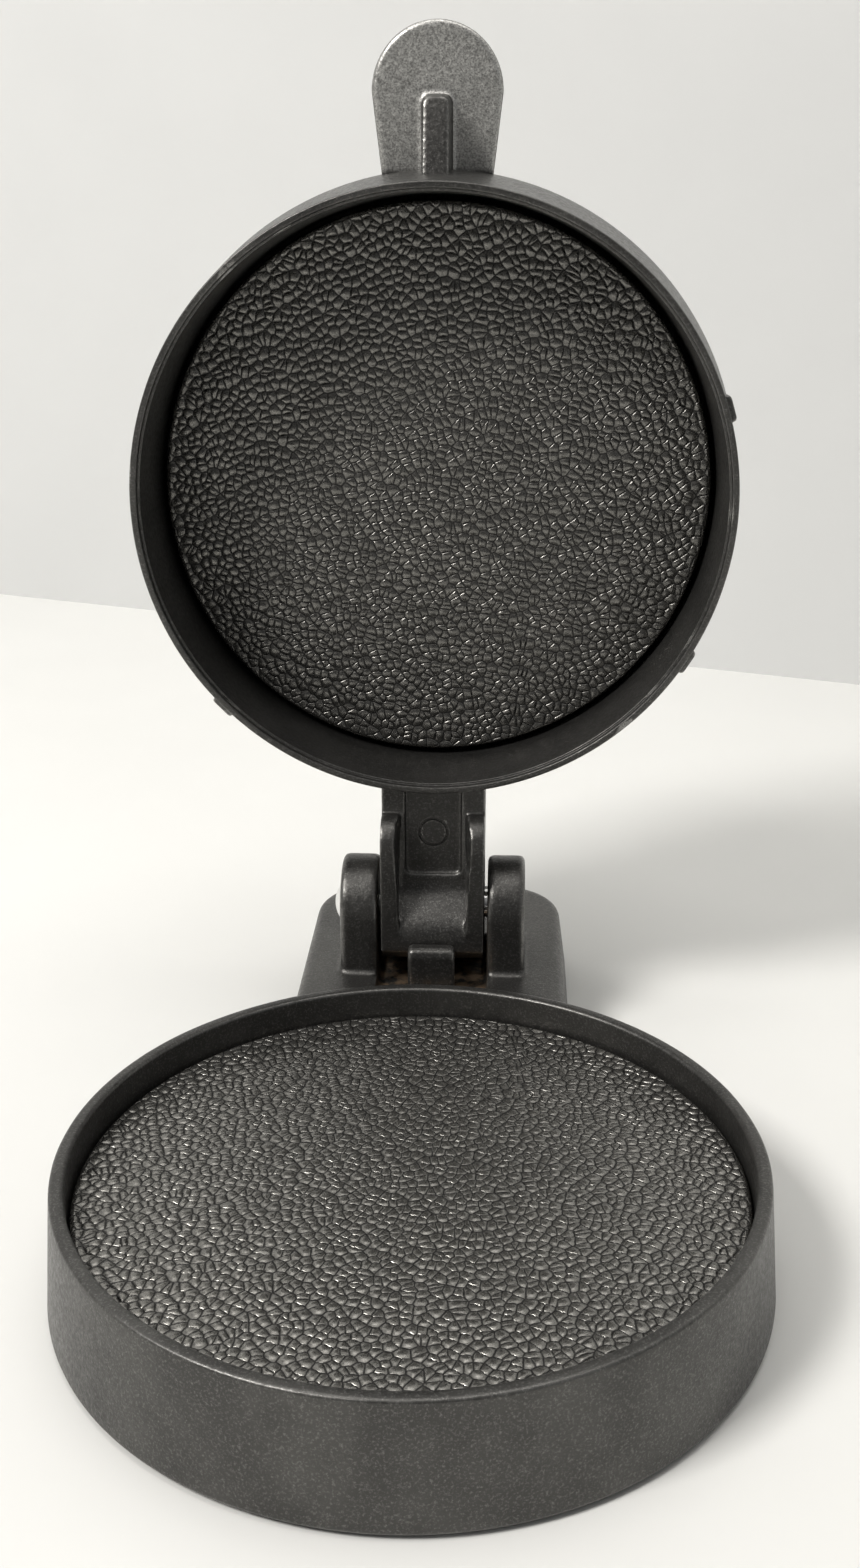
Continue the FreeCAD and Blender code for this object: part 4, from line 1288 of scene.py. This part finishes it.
@dataclass
class PebbledPlate(Fitting):
    """Pressing plate with a pebbled skin raised in its mesh."""

    name: str
    cad_node: str
    body: str
    facing: Facing
    face_z: float
    pitch: float = 1.75
    radius: float = 57.0
    thick: float = 4.0
    chamfer: float = 0.6
    depth: float = 0.22
    skin_edge: Point2 = (0.75, 1.5)
    cells: int = 280
    hub: Point2 | None = None
    hub_round: float = 0.4
    socket: float = 5.5
    socket_depth: float = 2.0

    def position_nodes(self, purpose: str, name: str, draw: Callable[[Tree, Socket], Socket]) -> Tree:
        """Geometry nodes that set a mesh's positions or offsets.

        Args:
            purpose: ending of the tree's name.
            name: "Position" or "Offset".
            draw: makes the value from the tree and the present position.

        Returns:
            The node tree.
        """
        tree = bpy.data.node_groups.new(f"{self.name}_{purpose}", "GeometryNodeTree")
        for end in ("INPUT", "OUTPUT"):
            tree.interface.new_socket("Geometry", in_out=end, socket_type="NodeSocketGeometry")
        value = draw(tree, tree.nodes.new("GeometryNodeInputPosition").outputs[0])
        moved = tree.nodes.new("GeometryNodeSetPosition")
        wire(tree, moved.inputs["Geometry"], tree.nodes.new("NodeGroupInput").outputs[0])
        wire(tree, moved.inputs[name], value)
        wire(tree, tree.nodes.new("NodeGroupOutput").inputs[0], moved.outputs[0])
        return tree

    def onto_disc(self, tree: Tree, position: Socket) -> Socket:
        """Place on the plate's face for a point of a square grid of half width one metre."""
        x, y, _ = split(tree, position)
        face = (self.radius - self.chamfer) * MM
        round_x, round_y = (
            times(tree, one, face,
                  maths(tree, "SQRT", maths(tree, "SUBTRACT", 1.0, times(tree, two, times(tree, two, 0.5)))))
            for one, two in ((x, y), (y, x)))
        return node(tree, "ShaderNodeCombineXYZ", X=round_x, Z=self.face_z * MM,
                    Y=maths(tree, "ADD", round_y, self.layout.dish_y)).outputs[0]

    def into_grooves(self, tree: Tree, position: Socket) -> Socket:
        """How far a point of the plate's face sinks between the pebbles."""
        local = vector_maths(tree, "SUBTRACT", position, (*self.axis, 0.0))
        height = pebble_height(tree, local, self.pitch)
        z = split(tree, local)[2]
        start, full = ((self.radius - edge) * MM for edge in self.skin_edge)
        inside = ramp(tree, vector_maths(tree, "LENGTH", flatten(tree, local)), start, full)
        off_face = maths(tree, "ABSOLUTE", maths(tree, "SUBTRACT", z, self.face_z * MM))
        on_face = maths(tree, "LESS_THAN", off_face, 0.02 * MM)
        sink = times(tree, maths(tree, "SUBTRACT", 1.0, height), times(tree, inside, on_face))
        drop = times(tree, sink, -self.facing.value * self.depth * MM)
        return node(tree, "ShaderNodeCombineXYZ", X=0.0, Y=0.0, Z=drop).outputs[0]

    def blank(self) -> Piece:
        """Chamfered disc, its hub if it has one, with a face divided finely enough for pebbles."""
        away = -self.facing.value
        face, back = self.face_z, self.face_z + away * self.thick
        c, r = self.chamfer, self.radius
        outline = [(r - c, face), (r, face + away * c), (r, back - away * c), (r - c, back)]
        if self.hub:
            (hub, top), edge = self.hub, self.hub_round
            outline += [(hub, back), (hub, top - away * edge), (hub - edge, top), (self.socket, top),
                        (self.socket, top - away * self.socket_depth)]
        clear_selection()
        bpy.ops.mesh.primitive_grid_add(x_subdivisions=self.cells, y_subdivisions=self.cells, size=2.0)
        plate = fresh(self.name)
        apply_modifier(plate, "NODES", node_group=self.position_nodes("disc", "Position", self.onto_disc))
        with editing(plate):
            bpy.ops.mesh.select_mode(type="EDGE")
            bpy.ops.mesh.select_all(action="DESELECT")
            bpy.ops.mesh.select_non_manifold()
            raise_rings(outline, self.axis)
            bpy.ops.mesh.edge_face_add()
            face_outward()
            bpy.ops.mesh.select_mode(type="VERT")
        return plate

    def build(self, coating: Material) -> Piece:
        """Make, pebble and coat the plate.

        Args:
            coating: the pebbled coating.

        Returns:
            The finished piece.
        """
        plate = self.blank()
        apply_modifier(plate, "NODES", node_group=self.position_nodes("pebbles", "Offset", self.into_grooves))
        if self.facing is Facing.DOWN:
            move_by(plate, self.layout.opening())
        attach(dress(shade(plate, 50.0), coating), self.body)
        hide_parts(self.cad_node)
        return plate


# ---------------------------------------------------------------- ejector and adjuster
@dataclass
class EjectorLever(Fitting):
    """Rocking lever under the dish with the thumb tab in front of the hinge."""

    half: float = 4.95
    tip_half: float = 2.7
    pivot: Point2 = (68.0, 5.6)
    bore: float = 2.05
    arm: Point2 = (1.4, 4.7)
    arm_start: float = 14.0
    tab_y: Point2 = (71.6, 75.6)
    tab_top: float = 24.2
    tab_round: float = 0.9
    tip_reach: float = 4.0
    tip_round: float = 1.1

    def side(self) -> list[Point2]:
        """Side shape of the lever: thumb tab, pivot boss and arm, as (y, z) in mm."""
        low, high = self.arm
        y, z = self.pivot
        front, rear = self.tab_y
        start, top, seat = self.arm_start, self.tab_top, z + 3.4
        side = [(start, low), (y, low), (rear, low + 1), (rear, top - 1.0), (rear - 1.0, top),
                (front + 1.6, top), (front + 0.45, top - 0.55), (front, top - 1.9), (front, seat),
                (y + 2.6, seat)]
        side += arc((y + 2.6, seat), (y - 0.6, z + 4.15), (y - 3.6, z + 2.2), 8)[1:]
        return side + [(y - 4.4, high), (start, high)]

    def build(self, coating: Material) -> Piece:
        """Make and coat the lever.

        Args:
            coating: the cast coating.

        Returns:
            The finished piece.
        """
        lever = self.slab("lever", self.half, self.side())
        shoulder = (self.pivot[1] + 6) * MM
        bevel_edges(lever, self.tab_round, 3, lambda middle, run: abs(run.x) < 0.5 and middle.z > shoulder)
        tip = self.brick("tip", self.tip_half, (-self.tip_reach, self.arm_start + 1), self.arm)
        end = self.layout.dish_y - (self.tip_reach - 0.1) * MM
        bevel_edges(tip, self.tip_round, 3, lambda middle, run: middle.y < end and abs(run.x) > 0.9)
        cast_over(gather([lever, tip], "lever"), 0.36, 2)
        combine(lever, [self.axle("bore", self.bore, 8, *self.pivot, PEG_SIDES)], Join.CUT)
        lever.name = "thumb_lever"
        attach(dress(shade(lever), coating), "ejector")
        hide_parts("ejector_lever")
        return lever


@dataclass
class Adjuster(Fitting):
    """Fluted knob and the threaded screw that moves the upper plate, made closed."""

    knob_bottom: float = 68.9
    knob_height: float = 17.0
    knob_radius: float = 19.0
    knob_wall: float = 3.5
    knob_top: float = 4.0
    knob_sides: int = 200
    cap_radius: Point2 = (14.0, 13.2)
    cap_depth: float = 0.5
    hub_radius: float = 8.0
    hub_bottom: float = 76.4
    hub_play: float = 0.2
    flutes: int = 10
    flute_radius: float = 4.0
    flute_depth: float = 1.4
    pin_z: float = 79.15
    pin_radius: float = 1.5
    screw_radius: float = 4.0
    screw_low: float = 47.2
    screw_high: float = 84.4
    screw_sides: int = 72
    flange: Point2 = (5.4, 1.8)
    centre: float = 2.0
    thread_depth: float = 0.62
    thread_sides: int = 12
    turn_steps: int = 36
    pitch: float = 1.5

    def pin_hole(self, half: float) -> Piece:
        """Cross hole for the knob's pin, as long as twice a half in mm."""
        return self.axle("cross", self.pin_radius, half, 0, self.pin_z, PIN_SIDES)

    def knob(self, plastic: Material) -> Piece:
        """Cup knob with soft flutes, cored underneath, with its hub and cross hole."""
        low, high = self.knob_bottom, self.knob_bottom + self.knob_height
        inner, ceiling = self.knob_radius - self.knob_wall, high - self.knob_top
        hole, cap_z = self.screw_radius + self.hub_play, high - self.cap_depth
        cap_outer, cap_inner = self.cap_radius
        outline = soften([(hole, self.hub_bottom, 0), (self.hub_radius, self.hub_bottom, 0.5),
                          (self.hub_radius, ceiling, 0.8), (inner, ceiling, 1.0), (inner, low, 0.4),
                          (self.knob_radius, low, 0.6), (self.knob_radius, high, 2.0), (cap_outer, high, 0.8),
                          (cap_inner, cap_z, 0.6), (hole, cap_z, 0)], PROFILE_STEPS, 2.0)
        knob = turn_up("knob", outline, self.axis, self.knob_sides)
        flutes = []
        away = self.knob_radius + self.flute_radius - self.flute_depth
        for index in range(self.flutes):
            turn = math.tau * index / self.flutes
            x, y = away * math.cos(turn), away * math.sin(turn)
            flutes.append(self.post("flute", self.flute_radius, low - 2, high + 2, PIN_SIDES, x, y))
        combine(knob, [gather(flutes, "flutes")], Join.CUT)
        cast_over(knob, 0.42, 3)
        socket = self.post("socket", self.screw_radius, low - 2, self.screw_high)
        combine(knob, [socket, self.pin_hole(10)], Join.CUT)
        move_by(knob, self.layout.opening())
        knob.name = "fluted_knob"
        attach(dress(shade(knob), plastic), "adjuster")
        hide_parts("adjusting_knob")
        return knob

    def thread(self, start: float, stop: float) -> Piece:
        """Coil a round thread on the screw's core.

        Args:
            start: height in mm where the thread starts.
            stop: height in mm that it doesn't pass.

        Returns:
            The closed coil.
        """
        clear_selection()
        bpy.ops.mesh.primitive_circle_add(
            vertices=self.thread_sides, radius=self.thread_depth * MM, fill_type="NGON",
            location=self.at(self.screw_radius - self.thread_depth - 0.02, 0, start + 0.8),
            rotation=(math.pi / 2, 0, 0))
        thread = settle(fresh("thread"))
        turns = int((stop - start - 1.6) / self.pitch)
        with editing(thread):
            bpy.ops.mesh.select_all(action="SELECT")
            bpy.ops.mesh.delete(type="ONLY_FACE")
        pivot = bpy.data.objects.new("pivot", None)
        bpy.context.scene.collection.objects.link(pivot)
        pivot.location = (*self.axis, 0.0)
        bpy.context.view_layer.update()
        steps = self.turn_steps * turns
        apply_modifier(thread, "SCREW", axis="Z", object=pivot, angle=math.tau * turns,
                       screw_offset=turns * self.pitch * MM, steps=steps, render_steps=steps,
                       use_merge_vertices=False)
        bpy.data.objects.remove(pivot)
        with editing(thread):
            bpy.ops.mesh.select_all(action="SELECT")
            bpy.ops.mesh.fill_holes(sides=0)
            face_outward()
        return thread

    def screw(self, steel: Material) -> Piece:
        """Screw with a real rounded thread between its flange and the knob's hub."""
        wide, thick = self.flange
        low, flange = self.screw_low, self.screw_low + thick
        start, stop = flange + 1.6, self.hub_bottom - 0.6
        shank, core, middle = self.screw_radius, self.screw_radius - self.thread_depth, self.centre
        outline = soften([(middle, low, 0), (wide, low, 0.3), (wide, flange, 0.3), (shank, flange, 0),
                          (shank, start, 0.3), (core, start + 0.6, 0), (core, stop - 0.6, 0),
                          (shank, stop, 0.3), (shank, self.screw_high, 0.4), (middle, self.screw_high, 0)], 3, 3.0)
        shaft = turn_up("shaft", outline, self.axis, self.screw_sides)
        thread = self.thread(start, stop)
        combine(shaft, [self.pin_hole(6)], Join.CUT)
        gather([shaft, thread], "shaft")
        move_by(shaft, self.layout.opening())
        shaft.name = "threaded_screw"
        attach(dress(shade(shaft), steel), "adjuster")
        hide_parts("press_screw")
        return shaft


# ---------------------------------------------------------------- studio
@dataclass(frozen=True)
class Lamp:
    """Soft rectangular lamp: where it hangs, the point it faces, width and height, power and colour."""

    name: str
    place: Point3
    aim: Point3
    size: Point2
    watts: float
    tint: Point3

    def hang(self) -> None:
        """Hang the lamp."""
        data = bpy.data.lights.new(self.name, "AREA")
        data.shape = "RECTANGLE"
        data.size, data.size_y = self.size
        data.energy = self.watts
        data.color = self.tint
        lamp = bpy.data.objects.new(self.name, data)
        bpy.context.scene.collection.objects.link(lamp)
        lamp.location = self.place
        lamp.rotation_euler = (Vector(self.aim) - Vector(self.place)).to_track_quat("-Z", "Y").to_euler()


@dataclass
class Studio:
    """Pale floor and back wall, soft lamps and the camera. Places in metres."""

    eye: Point3 = (0.01455, -0.27617, 0.17644)
    yaw: float = -0.0471
    pitch: float = 0.3598
    roll: float = 0.0038
    focal: float = 37.10
    sensor: float = 36.0
    shift: Point2 = (-0.0006, 0.0)
    near: float = 0.01
    reach: float = 3.0
    wall_left: Point2 = (-0.205, 0.426)
    wall_right: Point2 = (0.141, 0.304)
    wall_tint: Point3 = (0.74, 0.745, 0.74)
    warm: Point3 = (1.0, 0.975, 0.94)
    cool: Point3 = (0.94, 0.97, 1.0)
    room_dark: Point3 = (0.16, 0.16, 0.165)
    room_light: Point3 = (0.97, 0.96, 0.94)
    room_strength: float = 0.40

    def sheet(self, name: str, corners: Sequence[Point3], finish: PaperWhite) -> Piece:
        """Flat sheet through four corners."""
        clear_selection()
        bpy.ops.mesh.primitive_plane_add(size=1.0)
        sheet = fresh(name)
        for vertex, corner in zip(sheet.data.vertices, (corners[0], corners[1], corners[3], corners[2])):
            vertex.co = corner
        dress(sheet, finish.material())
        return sheet

    def backdrop(self) -> None:
        """Lay the floor and stand the wall behind it."""
        far = self.reach
        self.sheet("floor", [(-far, -far, 0), (far, -far, 0), (far, far, 0), (-far, far, 0)],
                   PaperWhite("floor_paper"))
        left, right = Vector((*self.wall_left, 0)), Vector((*self.wall_right, 0))
        run = (right - left).normalized() * far
        middle = (left + right) / 2
        up = Vector((0, 0, far))
        corners = [middle - run, middle + run, middle + run + up, middle - run + up]
        self.sheet("wall", [tuple(c) for c in corners], PaperWhite("wall_paper", self.wall_tint))

    def lamps(self) -> None:
        """Hang the key, the overhead and the fill."""
        middle = (0, 0, 0.08)
        Lamp("key", (-0.85, -0.60, 1.20), middle, (0.42, 0.42), 19.0, self.warm).hang()
        Lamp("overhead", (0.10, 0.20, 1.4), (0, 0, 0.0), (1.1, 1.1), 9.5, self.warm).hang()
        Lamp("fill", (1.1, -0.9, 0.7), middle, (0.9, 0.9), 0.6, self.cool).hang()

    def room(self) -> None:
        """Set the room's own light: pale above and behind the press, darker in front of it."""
        world = bpy.data.worlds.new("room")
        bpy.context.scene.world = world
        world.use_nodes = True
        tree = world.node_tree
        sky = tree.nodes["Background"]
        direction = tree.nodes.new("ShaderNodeTexCoord").outputs["Generated"]
        _, y, z = split(tree, direction)
        behind = maths(tree, "ADD", times(tree, y, 0.6), times(tree, z, 0.8))
        colour = blend_colour(tree, ramp(tree, behind, -0.5, 0.7), self.room_dark, self.room_light)
        wire(tree, sky.inputs["Color"], colour)
        wire(tree, sky.inputs["Strength"], self.room_strength)

    def camera(self) -> None:
        """Set up the camera."""
        data = bpy.data.cameras.new("view")
        data.sensor_fit = "VERTICAL"
        data.sensor_height = self.sensor
        data.lens = self.focal
        data.shift_x, data.shift_y = self.shift
        data.clip_start = self.near
        data.dof.use_dof = False
        camera = bpy.data.objects.new("view", data)
        bpy.context.scene.collection.objects.link(camera)
        camera.location = self.eye
        level = math.cos(self.pitch)
        ahead = Vector((math.sin(self.yaw) * level, math.cos(self.yaw) * level, -math.sin(self.pitch)))
        turn = Matrix.Rotation(self.roll, 3, ahead) @ ahead.to_track_quat("-Z", "Y").to_matrix()
        camera.rotation_euler = turn.to_euler()
        bpy.context.scene.camera = camera

    def build(self) -> None:
        """Set the whole stage."""
        bpy.context.scene.view_settings.view_transform = "Standard"
        self.backdrop()
        self.lamps()
        self.room()
        self.camera()


# ---------------------------------------------------------------- the press
def report(*pieces: Piece) -> None:
    """Log each finished piece with its size and face count."""
    for piece in pieces:
        size = " x ".join(f"{value / MM:.1f}" for value in piece.dimensions)
        log.info("%-16s %s mm, %d faces", piece.name, size, len(piece.data.polygons))


def dress_frame(steel: Material, bright: Material, rubber: Material) -> None:
    """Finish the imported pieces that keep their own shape.

    Args:
        steel: zinc-plated steel.
        bright: polished pin steel.
        rubber: foot rubber.
    """
    plated = ("plate_stem", "lever_pin", "hinge_pin_ring", "keeper_ring", "keeper_screws", "knob_pin")
    for name, piece in frame["nodes"].items():
        if name == "hinge_pin":
            dress(piece, bright)
        elif name.startswith("foot"):
            dress(piece, rubber)
        elif name in plated:
            dress(piece, steel)


def main() -> None:
    """Build the press piece by piece, dress it and set the stage."""
    logging.basicConfig(level=logging.INFO, format="%(name)s: %(message)s")
    layout = Layout.from_frame(frame)
    flat, opened = Ground(layout), Ground(layout, opened=True)
    base_coat = CastCoating("base_coating", flat, tan_patched=True).material()
    # The lid's coating carries painted light on the handle's front face.
    lid_coat = CastCoating("lid_coating", opened, handle_lit=True).material()
    lever_coat = CastCoating("lever_coating", flat).material()
    steel = Steel("zinc_plated_steel").material()
    polished = Steel("polished_pin_steel", (0.86, 0.86, 0.85), (0.74, 0.74, 0.73), smooth=0.08, rough=0.18)
    bright = polished.material()
    rubber = Moulded("foot_rubber", smooth=0.6, rough=0.8).material()
    black, soot = (0.010, 0.010, 0.010), (0.020, 0.020, 0.019)
    plastic = Moulded("knob_plastic", dark=black, light=soot).material()
    dress_frame(steel, bright, rubber)

    report(BaseCasting(layout).build(base_coat))
    report(LidCasting(layout).build(lid_coat))
    lower = PebbledPlate(layout, "pebbled_lower_plate", "lower_plate", "lift", Facing.UP, face_z=17.0)
    # Painted light: the lower plate, which faces up to the light, gets paler crowns than the upper plate.
    lit_crown = (0.205, 0.200, 0.188)
    report(lower.build(PebbleCoating("lower_plate_coating", flat, lower.pitch, crown=lit_crown).material()))
    upper = PebbledPlate(layout, "pebbled_upper_plate", "press_plate", "press", Facing.DOWN, face_z=43.9,
                         hub=(9.5, 49.1))
    report(upper.build(PebbleCoating("upper_plate_coating", opened, upper.pitch).material()))
    report(EjectorLever(layout).build(lever_coat))
    adjuster = Adjuster(layout)
    report(adjuster.knob(plastic), adjuster.screw(steel))
    Studio().build()


if __name__ == "__main__":
    main()
